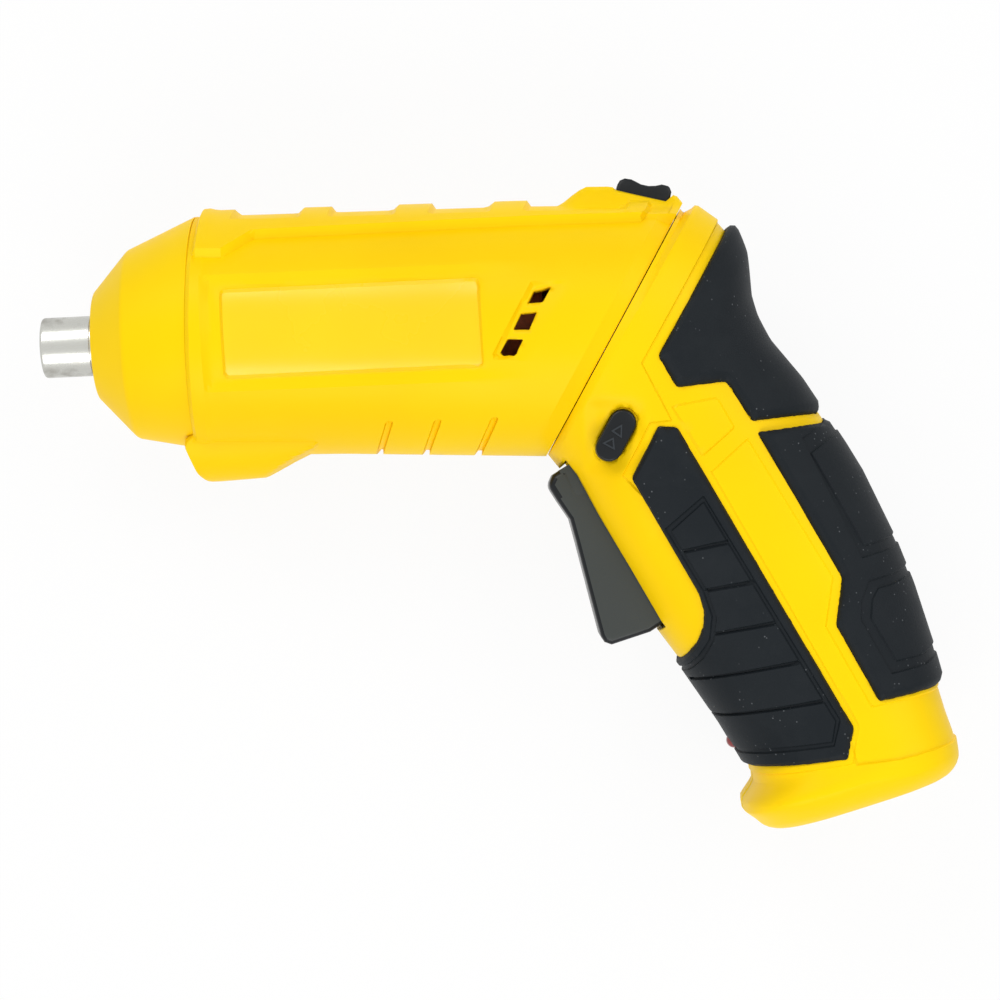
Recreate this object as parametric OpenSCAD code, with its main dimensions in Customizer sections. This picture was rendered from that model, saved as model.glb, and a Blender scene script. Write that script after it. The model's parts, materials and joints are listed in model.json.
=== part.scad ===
// Folding battery screwdriver, shown in its pistol position.
// X runs along the spindle from the mouth of the bit holder to the rear, Y points to the tool's top
// and Z to its left side, so the tool lies on its right side. Handle pieces are drawn along the handle:
// their first axis runs down the handle from the swivel and their second points to its back.

/* [Barrel] */
// Outer diameter of the barrel casing
barrel_d = 50.4; // [48:0.2:62]
// Wall thickness of the casings
wall = 2.4; // [2:0.1:3]
// Distance from the bit holder's mouth to the front of the casing
collar_x = 32.4; // [32:0.2:33.5]
// Droop of the casing towards its rear, in degrees
body_tilt = 2; // [0:0.25:3]
// Height of the raised spine on top of the casing
spine_rise = 0.8; // [0.4:0.1:1.2]
// Height of the cross ridges on the spine
ridge_rise = 1.2; // [0.6:0.1:2]
// Depth of the panel recess in each flank
panel_depth = 0.9; // [0.4:0.1:1.2]

/* [Swivel] */
// Distance of the swivel centre behind the bit holder's mouth
joint_x = 119.5; // [119:0.5:145]
// Height of the swivel centre above the spindle
joint_y = -1.85; // [-3:0.05:0]
// Tilt of the swivel axis below the spindle, in degrees
joint_tilt = 31; // [30:0.5:32]
// Gap between the two halves of the swivel
swivel_gap = 0.6; // [0.4:0.1:1]
// Radius of the swivel's bearing stub
stub_r = 11; // [10:0.1:12]
// Thickness of the swivel ring
ring_t = 3.9; // [3.5:0.1:4.5]

/* [Nose and bit holder] */
// Front of the nose cone behind the bit holder's mouth
nose_x = 11.3; // [10.5:0.1:12.5]
// Diameter of the nose cone's front face
nose_front_d = 23.4; // [22.5:0.1:25]
// Diameter where the nose cone's two tapers meet
nose_step_d = 39.4; // [38:0.1:41]
// Diameter of the nose cone's rear edge
nose_rear_d = 47.2; // [46:0.1:48]
// Outer diameter of the bit holder
holder_d = 12.6; // [11.5:0.1:13.5]
// Width across the flats of the bit socket
hex_af = 6.4; // [6.35:0.01:6.5]
// Depth of the bit socket
hex_depth = 15; // [12:0.5:16]

/* [Gearbox and motor] */
// Gear module
gear_m = 0.5; // [0.5:0.01:0.52]
// Face width of the planet gears
planet_w = 6; // [4:0.25:6.25]
// Outer radius of the gearbox housing
gearbox_r = 17.2; // [17:0.1:18]
// Diameter of the motor can
motor_d = 27.7; // [24:0.1:32]
// Length of the motor can
motor_len = 38; // [32:0.5:40]
// Diameter of the motor shaft
shaft_d = 2; // [1.8:0.05:2.1]
// Radial running clearance
run_gap = 0.05; // [0.02:0.01:0.1]

/* [Handle] */
// Length of the handle down its axis
handle_len = 112.3; // [111:0.5:136]
// Half width of the handle's grip
grip_half = 21; // [20:0.1:24]
// Half width of the foot
foot_half = 24; // [22.5:0.1:24.5]
// Height of the soft grips above the casing
grip_rise = 0.9; // [0.6:0.1:1.2]
// Half width of the trigger
trigger_half = 9; // [7:0.1:10]
// Trigger travel, in degrees
trigger_travel = 6; // [4:0.5:6]
// Side to side travel of the direction button, each way
direction_travel = 1.5; // [1:0.1:2]
// Latch button travel
latch_travel = 2; // [1.5:0.1:2.1]
// Diameter of the battery cell
cell_d = 18.4; // [18:0.1:19]
// Length of the battery cell
cell_len = 65; // [60:0.5:66]

/* [Fasteners] */
// Radius of a casing screw's thread
screw_r = 1.25; // [1:0.05:1.4]
// Radius of a casing screw's head
screw_head_r = 2.6; // [2.3:0.1:2.8]
// Radius of a screw boss
boss_r = 3.2; // [3:0.1:3.6]

/* [Hidden] */

big = 300;
seat = 0.05;
fit = 0.3;
round_fn = 96;
yellow = "#fdd40a";
black = "#24282b";
steel = "#b9bcc0";
copper = "#b5713c";

body_r = barrel_d / 2;
handle_tilt = 2 * joint_tilt;

// Stations along the gearbox, from front to rear
bushing_x = nose_x + 2.7;
bushing_len = 12;
bushing_r = 9;
bushing_rear_x = bushing_x + bushing_len;
retainer_x = bushing_rear_x + 0.3;
holder_rear_x = retainer_x + 2.1;
cover_x = holder_rear_x - 0.4;
cover_t = 2.5;
cover_screw_at = [60, 180, 300];
housing_x = cover_x + cover_t;
carrier_t = 2;
carrier_r = 9.5;
carrier_x = housing_x + 2.6;
spindle_r = 4;
// Behind its bare front the bit holder is a little thinner, where it runs in the bushing
journal_r = holder_d / 2 - 0.5;
bare_len = nose_x - 1.1;
stage2_x = housing_x + 5;
stage1_x = stage2_x + planet_w + 2 * fit + carrier_t;
gears_rear_x = stage1_x + planet_w + 2.2;
motor_x = gears_rear_x + 2.5;
motor_r = motor_d / 2;
motor_rear_x = motor_x + motor_len;
cap_t = 3;
sleeve_len = 11.6;
shaft_r = shaft_d / 2;
shaft_front_x = stage1_x + 0.2;

// Planetary gears
sun_teeth = 8;
planet_teeth = 22;
ring_teeth = 52;
sun_pitch_r = gear_m * sun_teeth / 2;
planet_pitch_r = gear_m * planet_teeth / 2;
ring_pitch_r = gear_m * ring_teeth / 2;
orbit_r = sun_pitch_r + planet_pitch_r;
pressure = 20;
backlash = 0.04;
pin_r = 1.2;
planet_at = [0, 120, 240];

// Swivel, measured along its axis from the parting plane
half_gap = swivel_gap / 2;
hub_flange_r = 22.2;
hub_flange_z = -4.6;
hub_flange_t = 1.9;
hub_boss_r = 17.8;
ring_r = 20.4;
ring_flange_z = 2.2;
ring_rear_z = half_gap + ring_t;
plate_z = ring_rear_z + fit;
plate_t = 1.7;
plate_screw_at = [90, 210, 330];
cable_r = 8;
end_wall_t = 6;
tooth_in_y = 16.6;
tooth_out_y = 19.1;

// Latch: its button sinks square to the sloping deck, and its arm carries the tooth down to the swivel
latch_tilt = 15;
latch_half = 5.6;
latch_skirt = 3;
arm_half = 2.8;
arm_front = -6;
arm_rear = -3.3;
tooth_tip = 1.2;
cap_line = [[0, -latch_skirt], [0, 1.2], [0.3, 2.2], [1.2, 2.7], [2.6, 2.85], [4.8, 2.45], [7.8, 2.6],
    [9, 3.2], [10.6, 3.1], [11.3, 2], [11.3, 0], [10.4, -latch_skirt]];
latch_spring_u = 2.6;
latch_spring_v = -latch_skirt - latch_travel - 4.6;
deck_at = [joint_x + 1.5, joint_y + 29.25];
groove_in_r = tooth_in_y - latch_travel - fit;
groove_out_r = tooth_out_y + 0.6;
groove_depth = tooth_tip + 0.3 * latch_travel + fit;
slot_in_y = groove_in_r - fit;

// Handle outline, seen from the side: distance down the handle, distance towards its back
back_line = [[-15.2, 25.3], [-13.9, 28], [-8.8, 30.3], [-4.3, 31.2], [1.3, 29.8], [8.9, 26.7], [13, 26],
    [18.7, 25.9], [28.7, 27.1], [44.9, 28.1], [51.5, 28.5], [67.3, 27.7], [76.9, 26.4], [84, 25],
    [90.2, 23.7], [98.2, 21.4], [107.6, 19], [112, 17.3], [116, 14]];
front_line = [[15, -25.3], [18.2, -24.8], [22.8, -24], [57, -24.4], [66, -23.4], [81.8, -22.3],
    [93, -22.2], [96, -23.6], [98, -27.4], [100.1, -28.1], [102.4, -27], [105.4, -25.9], [110, -24]];
half_line = [[0, body_r], [10, 24], [20, grip_half + 1], [36, grip_half], [88, grip_half],
    [98, foot_half - 1.2], [104, foot_half], [112.3, foot_half]];
power_line = [[0, 2], [20, 2.5], [90, 2.5], [104, 2.9], [113, 2.9]];
base_slope = 0.224;
base_round = 2.4;
grip_bed = 0.2;

// Pieces inside the handle
trigger_pivot = [22, -20.2];
trigger_pin_r = 1.2;
pin_end = trigger_half + 2;
trigger_rear_b = -18.6;
trigger_reach = 36;
trigger_spring_a = 48;
spring_seat_b = -11.2;
direction_at = [19.1, -12.1];
direction_w = 5.4;
direction_l = 11.1;
direction_half = grip_half - 0.7 + direction_travel;
switch_at = [21.5, -13.6];
switch_size = [19, 12, 12];
plunger_a = 37;
plunger_r = 2;
cell_a = 43;
cell_b = 4;
board_b = -15.2;
board_t = 1.6;
board_a = handle_len - 50.3;
board_len = 40;
board_half = 8.1;
socket_b = -18.6;
socket_r = 3.4;
indicator_a = 86.6;
indicator_r = 1.4;
indicator_head_r = 1.65;
lamp_y = -24.5;
spigot_r = gearbox_r + 2.1;
nose_bore_r = gearbox_r + 1.3;
// Handle screws: distance down the handle, distance towards its back, height of the boss
handle_screw_at = [[11, 20, 14], [34, 19.5, 13.5], [66, 19.5, 14], [58, -11, 16.5], [96, 15.6, 11.5]];
barrel_screw_at = [[63, 18.6], [63, -18.6], [100, 17.6], [48, -23.4]];

module in_body() translate([joint_x, joint_y, 0]) rotate([0, 0, -body_tilt]) rotate([0, 90, 0]) children();
module at_swivel() translate([joint_x, joint_y, 0]) rotate([0, 0, -joint_tilt]) rotate([0, 90, 0]) children();
module in_handle() translate([joint_x, joint_y, 0]) rotate([0, 0, -handle_tilt]) children();
module along_x(x) translate([x, 0, 0]) rotate([0, 90, 0]) children();
module half_space(side) translate([-big, -big, side > 0 ? 0 : -big]) cube([2 * big, 2 * big, big]);
module side_of(side) mirror([0, 0, side > 0 ? 0 : 1]) children();
module tube_x(x, len, r_out, r_in) along_x(x) difference() {
    cylinder(h = len, r = r_out, $fn = round_fn);
    translate([0, 0, -1]) cylinder(h = len + 2, r = r_in, $fn = round_fn);
}

// Involute gears
function involute(angle) = tan(angle) * 180 / PI - angle;
function tooth_half(teeth, r, slack) =
    let (pitch_r = gear_m * teeth / 2, base_r = pitch_r * cos(pressure))
    90 / teeth + involute(pressure) - (r > base_r ? involute(acos(base_r / r)) : 4 * (base_r - r) / base_r)
        + slack / pitch_r * 180 / PI;
function gear_outline(teeth, root_r, tip_r, slack) =
    let (radii = [for (k = [0:3]) root_r + (tip_r - root_r) * k / 3])
    [for (i = [0:teeth - 1]) each concat(
        [for (k = [0:3]) let (a = 360 / teeth * i - tooth_half(teeth, radii[k], slack))
            radii[k] * [cos(a), sin(a)]],
        [for (k = [3:-1:0]) let (a = 360 / teeth * i + tooth_half(teeth, radii[k], slack))
            radii[k] * [cos(a), sin(a)]])];
module sun_gear(x, len, bore_r) along_x(x) difference() {
    linear_extrude(len) polygon(gear_outline(sun_teeth, sun_pitch_r - 0.62, sun_pitch_r + 0.5, -backlash));
    if (bore_r > 0) translate([0, 0, -1]) cylinder(h = len + 2, r = bore_r, $fn = 32);
}
// A planet's tooth faces the sun's gap wherever it stands on its orbit
module planet_gear(x, at) along_x(x) rotate([0, 0, at]) translate([orbit_r, 0, 0])
    rotate([0, 0, at * sun_teeth / planet_teeth + 180 + 180 / planet_teeth]) difference() {
        linear_extrude(planet_w)
            polygon(gear_outline(planet_teeth, planet_pitch_r - 0.62, planet_pitch_r + 0.3, -backlash));
        translate([0, 0, -1]) cylinder(h = planet_w + 2, r = pin_r + run_gap, $fn = 32);
    }
module carrier_pins(x, len) for (at = planet_at)
    along_x(x) rotate([0, 0, at]) translate([orbit_r, 0, 0]) cylinder(h = len, r = pin_r, $fn = 32);

// Springs and leads are swept along a path of points
function unit(v) = v / norm(v);
function path_dir(path, i) =
    unit(path[min(i + 1, len(path) - 1)] - path[max(i - 1, 0)]);
function sweep_ring(centre, dir, r, sides) =
    let (u = unit(cross(dir, abs(dir[2]) < 0.9 ? [0, 0, 1] : [1, 0, 0])), v = cross(dir, u))
    [for (k = [0:sides - 1]) centre + r * (cos(360 * k / sides) * u + sin(360 * k / sides) * v)];
module sweep(path, r, sides) {
    n = len(path);
    points = [for (i = [0:n - 1]) each sweep_ring(path[i], path_dir(path, i), r, sides)];
    faces = concat(
        [for (i = [0:n - 2], k = [0:sides - 1]) let (a = i * sides + k, b = i * sides + (k + 1) % sides)
            each [[a, b, b + sides], [a, b + sides, a + sides]]],
        [[for (k = [sides - 1:-1:0]) k]],
        [[for (k = [0:sides - 1]) (n - 1) * sides + k]]);
    polyhedron(points, faces, convexity = 8);
}
module coil(turns, r, wire_r, len) sweep([for (i = [0:8 * turns])
    [r * cos(45 * i), r * sin(45 * i), wire_r + (len - 2 * wire_r) * i / (8 * turns)]], wire_r, 6);

// Phillips screw, its head's top at the origin and its thread along -Z
module screw(head_r, head_h, thread_r, len) difference() {
    union() {
        translate([0, 0, -head_h]) cylinder(h = head_h, r = head_r, $fn = 48);
        translate([0, 0, -len]) cylinder(h = len, r = thread_r, $fn = 32);
    }
    for (turn = [0, 90]) rotate([0, 0, turn])
        translate([-head_r * 0.55, -0.3, -head_h * 0.6]) cube([head_r * 1.1, 0.6, head_h]);
}

// Barrel casing
module casing_outer() {
    back = joint_x - collar_x;
    in_body() rotate_extrude($fn = round_fn) polygon([[0, -back - 1], [body_r - 1.2, -back - 1],
        [body_r + 0.2, -back + 0.9], [body_r + 0.4, -back + 3.2], [body_r, -back + 4.8], [body_r, 40],
        [0, 40]]);
}
module sector(half_angle, from_x, to_x, r) in_body()
    translate([0, 0, from_x - joint_x]) intersection() {
        cylinder(h = to_x - from_x, r = r, $fn = round_fn);
        linear_extrude(to_x - from_x) polygon([[0, 0], [-big * sin(half_angle), big * cos(half_angle)],
            [big * sin(half_angle), big * cos(half_angle)]]);
    }
ridge_x = [[34.4, 41.4], [54.3, 61.2], [75.7, 82.4], [95.6, 102.3]];
module chin() intersection() {
    along_x(collar_x - 2.6) translate([0, -17, 0]) cylinder(h = 40, r = 12.9, $fn = round_fn);
    translate([0, 0, -20]) linear_extrude(40) polygon([[collar_x - 2.6, -20], [collar_x - 1.4, -26.4],
        [collar_x + 0.8, -29.9], [45.9, -29.4], [51.4, -26.2], [57, -23.4], [57, -10],
        [collar_x - 2.6, -10]]);
}
// The latch stands on this boss
deck_line = [[108.2, 20], [109.4, 24.6], [113.5, 27.9], [114.6, 28.4], [120.2, 28.2], [120.6, 26.6],
    [130.6, 23.9], [132.4, 25.4], [134.1, 24.6], [137, 18], [120, 15]];
module latch_boss() intersection() {
    translate([joint_x - 119.5, joint_y + 1.85, -11]) linear_extrude(22) polygon(deck_line);
    in_body() translate([0, 0, -30]) cylinder(h = 60, r = body_r + 5, $fn = round_fn);
}
module rounded_bar(x0, x1, y0, y1, r, depth) linear_extrude(depth) union() {
    translate([x0, y0 + r]) square([x1 - x0, y1 - y0 - 2 * r]);
    translate([x0 + r, y0]) square([x1 - x0 - 2 * r, y1 - y0]);
    for (x = [x0 + r, x1 - r], y = [y0 + r, y1 - r]) translate([x, y]) circle(r = r, $fn = 32);
}
// Slanted cooling windows, given by their corners as seen from the left
vent_window = [[[102.6, 5.8], [106.3, 6.5], [104.6, 3], [101.3, 2.7]],
    [[100.2, 0.8], [103.5, 1.1], [101.9, -2.8], [98.5, -2.9]],
    [[97.3, -4.7], [100.7, -4.6], [99.2, -8.1], [96, -8]]];
module barrel_end_wall() intersection() {
    in_body() translate([0, 0, -40]) cylinder(h = 80, r = body_r - 0.6, $fn = round_fn);
    at_swivel() translate([0, 0, -end_wall_t - half_gap]) cylinder(h = end_wall_t, r = 45, $fn = round_fn);
}
module casing_rib(x, t, bore_r) difference() {
    along_x(x) cylinder(h = t, r = body_r - wall - 1 + 0.6, $fn = round_fn);
    along_x(x - 1) cylinder(h = t + 2, r = bore_r, $fn = round_fn);
}
// Groove and bore that hold the swivel hub
module hub_cavity() at_swivel() rotate_extrude($fn = round_fn) polygon([[0, -20], [hub_boss_r + seat, -20],
    [hub_boss_r + seat, hub_flange_z - seat], [hub_flange_r + seat, hub_flange_z - seat],
    [hub_flange_r + seat, hub_flange_z + hub_flange_t + seat],
    [hub_boss_r + seat, hub_flange_z + hub_flange_t + seat], [hub_boss_r + seat, 20], [0, 20]]);
// Side views in the swivel's own frame: distance along its axis, distance up the parting plane
module swivel_side(half) translate([joint_x, joint_y, -half]) rotate([0, 0, -joint_tilt])
    linear_extrude(2 * half) children();
// Slot for the latch's arm and tooth, open through the deck
module latch_slot() swivel_side(arm_half + fit) polygon([[arm_front - 0.6, slot_in_y], [1, slot_in_y],
    [1, 22.4], [arm_rear + 1, 22.4], [arm_rear + 1, 26], [arm_front - 0.6, 26]]);
// The deck's own frame: distance back along the deck, distance out from it
module on_deck(half) translate([deck_at[0], deck_at[1], -half]) rotate([0, 0, -latch_tilt])
    linear_extrude(2 * half) children();
module cap_window() on_deck(latch_half + fit) polygon([[-fit, -latch_skirt - latch_travel - 3],
    [11.3 + fit, -latch_skirt - latch_travel - 3], [11.3 + fit, 8], [-fit, 8]]);
// The hollow casing, with its spine, ridges, lamp chin and latch boss
module casing_hollow() difference() {
    union() {
        casing_outer();
        sector(37, collar_x + 1.6, joint_x + 30, body_r + spine_rise);
        for (x = ridge_x) sector(30, x[0], x[1], body_r + spine_rise + ridge_rise);
        chin();
        latch_boss();
    }
    in_body() translate([0, 0, collar_x - joint_x + wall])
        cylinder(h = 200, r = body_r - wall, $fn = round_fn);
    along_x(collar_x - 5) cylinder(h = 10, r = spigot_r + fit, $fn = round_fn);
    // Room for the nose cone, whose rear edge meets the collar
    along_x(nose_x + 7.6) cylinder(h = collar_x - nose_x - 7.6, r1 = nose_step_d / 2 + fit,
        r2 = nose_rear_d / 2 + fit, $fn = round_fn);
    along_x(collar_x - 4) difference() {
        cylinder(h = 4, r = body_r + 4, $fn = round_fn);
        translate([0, -big - nose_rear_d / 2, -1]) cube([2 * big, 2 * big, 10], center = true);
    }
}
module casing_ribs() union() {
    casing_rib(collar_x + 6, 2, gearbox_r + seat);
    casing_rib(gears_rear_x - 4, 2, gearbox_r + seat);
    casing_rib(motor_x + 7.2, 2, motor_r + seat);
    casing_rib(motor_rear_x - 8, 2, motor_r + seat);
    // Seat of the latch's spring
    on_deck(5.5) polygon([[0.2, latch_spring_v - 1.6], [8, latch_spring_v - 1.6], [8, latch_spring_v],
        [0.2, latch_spring_v]]);
}
module half() intersection() {
    half_space(1);
    children();
}
module barrel_shell(side) color(yellow) side_of(side) difference() {
    union() {
        half() casing_hollow();
        half() barrel_end_wall();
        half() casing_ribs();
        for (p = barrel_screw_at) translate([p[0], p[1], 0])
            cylinder(h = screw_boss(p), r = boss_r, $fn = 48);
    }
    // The flank recess follows the round of the casing
    difference() {
        translate([0, 0, 10]) rounded_bar(39.6, 91.6, -9.6, 8.6, 1.4, 20);
        in_body() translate([0, 0, -120]) cylinder(h = 200, r = body_r - panel_depth, $fn = round_fn);
    }
    for (window = vent_window) translate([0, 0, 12]) linear_extrude(30) polygon(window);
    hub_cavity();
    latch_slot();
    cap_window();
    // Lamp chamber in the chin
    translate([collar_x - 2, lamp_y - 3.7, -4]) cube([13.6, 8, 8]);
    at_swivel() translate([0, 0, -half_gap]) cylinder(h = 60, r = 60, $fn = 48);
    for (p = barrel_screw_at) translate([p[0], p[1], 0]) if (side > 0) {
        translate([0, 0, -1]) cylinder(h = 9, r = screw_r + seat, $fn = 32);
    } else {
        translate([0, 0, -1]) cylinder(h = 41, r = screw_r + 0.2, $fn = 32);
        translate([0, 0, screw_seat(p)]) cylinder(h = 40, r = screw_head_r + 0.2, $fn = 48);
    }
}
function screw_boss(p) = p[1] < -20 ? 8 : 12;
function screw_seat(p) = p[1] < -20 ? 4 : 8;
module barrel_screws() color(steel) for (p = barrel_screw_at)
    translate([p[0], p[1], -screw_seat(p) - 1.8]) rotate([180, 0, 0])
        screw(screw_head_r, 1.8, screw_r, screw_seat(p) + 1.8 + 7.5);

module nose_cone() color(yellow) along_x(0) rotate_extrude($fn = round_fn) polygon([
    [holder_d / 2 + 0.6, nose_x], [nose_front_d / 2 - 0.6, nose_x], [nose_front_d / 2, nose_x + 0.6],
    [nose_step_d / 2, nose_x + 7.6], [nose_rear_d / 2, collar_x - fit], [spigot_r, collar_x - fit],
    [spigot_r, collar_x + 2], [nose_bore_r, collar_x + 2], [nose_bore_r, cover_x - 1],
    [nose_step_d / 2 - wall - 0.8, nose_x + 9], [bushing_r + 2.7, nose_x + 2.4],
    [holder_d / 2 + 0.6, nose_x + 2.4]]);

module led_lens() color("#dfe8ee") translate([collar_x - 0.6, lamp_y - 3.6, -3.9]) cube([1.4, 4.2, 7.8]);
module led_lamp() color("white") translate([0, lamp_y, 0]) union() {
    along_x(collar_x + 3.6) cylinder(h = 5.2, r = 2.5, $fn = 48);
    translate([collar_x + 3.6, 0, 0]) sphere(r = 2.5, $fn = 32);
    for (z = [-1.27, 1.27]) translate([collar_x + 8.4, -0.25, z - 0.25]) cube([3, 0.5, 0.5]);
}

module gearbox_housing() color("#3a3d40") difference() {
    union() {
        along_x(housing_x) cylinder(h = motor_x - housing_x, r = gearbox_r, $fn = round_fn);
        along_x(housing_x) cylinder(h = 2.5, r = gearbox_r + 1.2, $fn = round_fn);
    }
    along_x(housing_x - 1) cylinder(h = 3.4, r = ring_pitch_r + 0.7, $fn = round_fn);
    along_x(housing_x + 1) linear_extrude(gears_rear_x - housing_x - 1)
        rotate([0, 0, 180 / ring_teeth])
            polygon(gear_outline(ring_teeth, ring_pitch_r - 0.3, ring_pitch_r + 0.62, backlash));
    along_x(gears_rear_x - 1) cylinder(h = 10, r = 4.1, $fn = 48);
    for (at = cover_screw_at) along_x(housing_x - 1) rotate([0, 0, at])
        translate([gearbox_r - 1.7, 0, 0]) cylinder(h = 9, r = 1, $fn = 32);
    for (y = [-8, 8]) along_x(gears_rear_x - 1) translate([0, y, 0]) cylinder(h = 10, r = 1.3, $fn = 32);
}
module gearbox_cover() color("#3a3d40") difference() {
    union() {
        along_x(cover_x) cylinder(h = cover_t, r = gearbox_r + 1, $fn = round_fn);
        along_x(bushing_x + 0.4) cylinder(h = cover_x - bushing_x, r = bushing_r + 2, $fn = round_fn);
    }
    along_x(0) cylinder(h = 60, r = bushing_r, $fn = round_fn);
    for (at = cover_screw_at) along_x(cover_x - 1) rotate([0, 0, at])
        translate([gearbox_r - 1.7, 0, 0]) cylinder(h = 9, r = 1.15, $fn = 32);
}
module gearbox_screws() color(steel) for (at = cover_screw_at) along_x(cover_x - 1.3) rotate([0, 0, at])
    translate([gearbox_r - 1.7, 0, 0]) rotate([180, 0, 0]) screw(1.9, 1.3, 1, 10.5);
module spindle_bushing() color("#8d7440") tube_x(bushing_x, bushing_len, bushing_r, journal_r + run_gap);

module motor_can() color("#a9adb1") difference() {
    along_x(motor_x) cylinder(h = motor_len, r = motor_r, $fn = round_fn);
    along_x(motor_x + 1) cylinder(h = motor_len, r = motor_r - 1, $fn = round_fn);
    along_x(motor_x - 1) cylinder(h = 3, r = shaft_r + run_gap, $fn = 32);
    for (y = [-8, 8]) along_x(motor_x - 1) translate([0, y, 0]) cylinder(h = 3, r = 1, $fn = 32);
}
magnet_r = motor_r - 3.6;
module motor_magnets() color("#55565a") for (turn = [0, 180]) rotate([turn, 0, 0])
    along_x(motor_x + 5) rotate([0, 0, 25]) rotate_extrude(angle = 130, $fn = round_fn)
        translate([magnet_r, 0]) square([motor_r - 1 - seat - magnet_r, motor_len - 16]);
module motor_end_cap() color("#2b2b2d") difference() {
    union() {
        along_x(motor_rear_x) cylinder(h = cap_t, r = motor_r - 0.4, $fn = round_fn);
        along_x(motor_rear_x - 3) cylinder(h = 3, r = motor_r - 1 - seat, $fn = round_fn);
    }
    along_x(motor_rear_x - 4) cylinder(h = cap_t + 5, r = shaft_r + run_gap, $fn = 32);
    along_x(motor_rear_x - 4) cylinder(h = 5, r = 9, $fn = 48);
}
module motor_brushes() color("#3c3836") for (y = [1, -1])
    translate([motor_rear_x - 5.5, y > 0 ? 3.6 : -8.6, -1.5]) cube([4.5, 5, 3]);
module motor_terminals() color(copper) for (y = [1, -1])
    translate([motor_rear_x + cap_t, y * 7 - 1.4, -0.25]) cube([5, 2.8, 0.5]);
// Paper sleeve that keeps the terminals clear of the casing, seen through the cooling windows
module terminal_sleeve() color("#5a2a1c")
    tube_x(motor_rear_x + seat, sleeve_len, motor_r + 0.15, motor_r - 0.4 + seat);
module motor_screws() color(steel) for (y = [-8, 8]) along_x(gears_rear_x - 1.1) translate([0, y, 0])
    rotate([180, 0, 0]) screw(1.9, 1.1, 1, 5.5);
lead_end = [joint_x + 3.2, joint_y - 1.9];
module motor_leads() {
    for (y = [1, -1]) color(y > 0 ? "#a32a22" : "#1d1d1f") sweep([[motor_rear_x + cap_t + 3, y * 7, 1.1],
        [motor_rear_x + cap_t + 5, y * 7, 1.2], [motor_rear_x + cap_t + 7, y * 5.5, 1.1],
        [motor_rear_x + cap_t + 9, y * 3.2 - 0.8, 0.6], [motor_rear_x + cap_t + 12, y * 1.6 - 1.2, 0],
        [lead_end[0] - 2, lead_end[1] + y * 1.2 + 0.9, 0], [lead_end[0], lead_end[1] + y * 1.2, 0]], 0.75, 8);
}

// Swivel
module swivel_hub() color("#8f9498") at_swivel() difference() {
    union() {
        translate([0, 0, hub_flange_z]) cylinder(h = hub_flange_t, r = hub_flange_r, $fn = round_fn);
        translate([0, 0, hub_flange_z])
            cylinder(h = -half_gap - hub_flange_z, r = hub_boss_r, $fn = round_fn);
        translate([0, 0, -half_gap - 1]) cylinder(h = plate_z + half_gap + 1, r = stub_r, $fn = round_fn);
    }
    translate([0, 0, -10]) cylinder(h = 30, r = cable_r, $fn = round_fn);
    translate([-arm_half - fit, slot_in_y, -10]) cube([2 * (arm_half + fit), 20, 12]);
    for (at = plate_screw_at) rotate([0, 0, at]) translate([stub_r - 1.5, 0, -3])
        cylinder(h = 20, r = 0.8, $fn = 32);
}
module swivel_plate() color("#8f9498") at_swivel() difference() {
    translate([0, 0, plate_z]) cylinder(h = plate_t, r = stub_r + 3.5, $fn = round_fn);
    translate([0, 0, -1]) cylinder(h = 30, r = cable_r, $fn = round_fn);
    for (at = plate_screw_at) rotate([0, 0, at]) translate([stub_r - 1.5, 0, 0])
        cylinder(h = 20, r = 0.9, $fn = 32);
}
module swivel_screws() color(steel) at_swivel() for (at = plate_screw_at) rotate([0, 0, at])
    translate([stub_r - 1.5, 0, plate_z + plate_t + 1]) screw(1.4, 1, 0.8, 7.5);
// The arc groove lets the latch's tooth run through half a turn and stops it at each end
module swivel_ring() color("#3a3d40") at_swivel() difference() {
    union() {
        translate([0, 0, half_gap]) cylinder(h = ring_t, r = ring_r, $fn = round_fn);
        translate([0, 0, ring_flange_z])
            cylinder(h = ring_rear_z - ring_flange_z, r = hub_flange_r, $fn = round_fn);
    }
    translate([0, 0, -1]) cylinder(h = 20, r = stub_r + run_gap, $fn = round_fn);
    rotate([0, 0, -102]) rotate_extrude(angle = 204, $fn = round_fn)
        translate([groove_in_r, 0]) square([groove_out_r - groove_in_r, groove_depth]);
}
module latch_button() color(black) union() {
    on_deck(latch_half) polygon(cap_line);
    swivel_side(arm_half) polygon([[arm_front, tooth_in_y], [tooth_tip, tooth_in_y], [tooth_tip, tooth_out_y],
        [arm_rear, tooth_out_y], [arm_rear, 25.6], [arm_front, 27]]);
}
module latch_spring() color(steel) translate([deck_at[0], deck_at[1], 0]) rotate([0, 0, -latch_tilt])
    translate([latch_spring_u, latch_spring_v + seat, 0]) rotate([-90, 0, 0])
        coil(6, 1.6, 0.25, -latch_skirt - latch_spring_v - 2 * seat);

// Rotating pieces
module bit_holder() color("#c9ccd0") difference() {
    union() {
        along_x(0) rotate_extrude($fn = round_fn) polygon([[0, 0], [holder_d / 2 - 0.5, 0],
            [holder_d / 2, 0.5], [holder_d / 2, bare_len], [journal_r, bare_len], [journal_r, holder_rear_x],
            [0, holder_rear_x]]);
        along_x(holder_rear_x - 1)
            cylinder(h = carrier_x + carrier_t - holder_rear_x + 1, r = spindle_r, $fn = 64);
    }
    along_x(-1) cylinder(h = hex_depth + 1, r = hex_af / sqrt(3), $fn = 6);
    along_x(-0.01) cylinder(h = 0.6, r1 = hex_af / 2 + 0.9, r2 = hex_af / 2, $fn = 48);
    along_x(hex_depth - 0.1) cylinder(h = 3.2, r = 3, $fn = 48);
    along_x(retainer_x) difference() {
        cylinder(h = 1, r = 10, $fn = 48);
        translate([0, 0, -1]) cylinder(h = 3, r = journal_r - 0.6, $fn = round_fn);
    }
}
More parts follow.
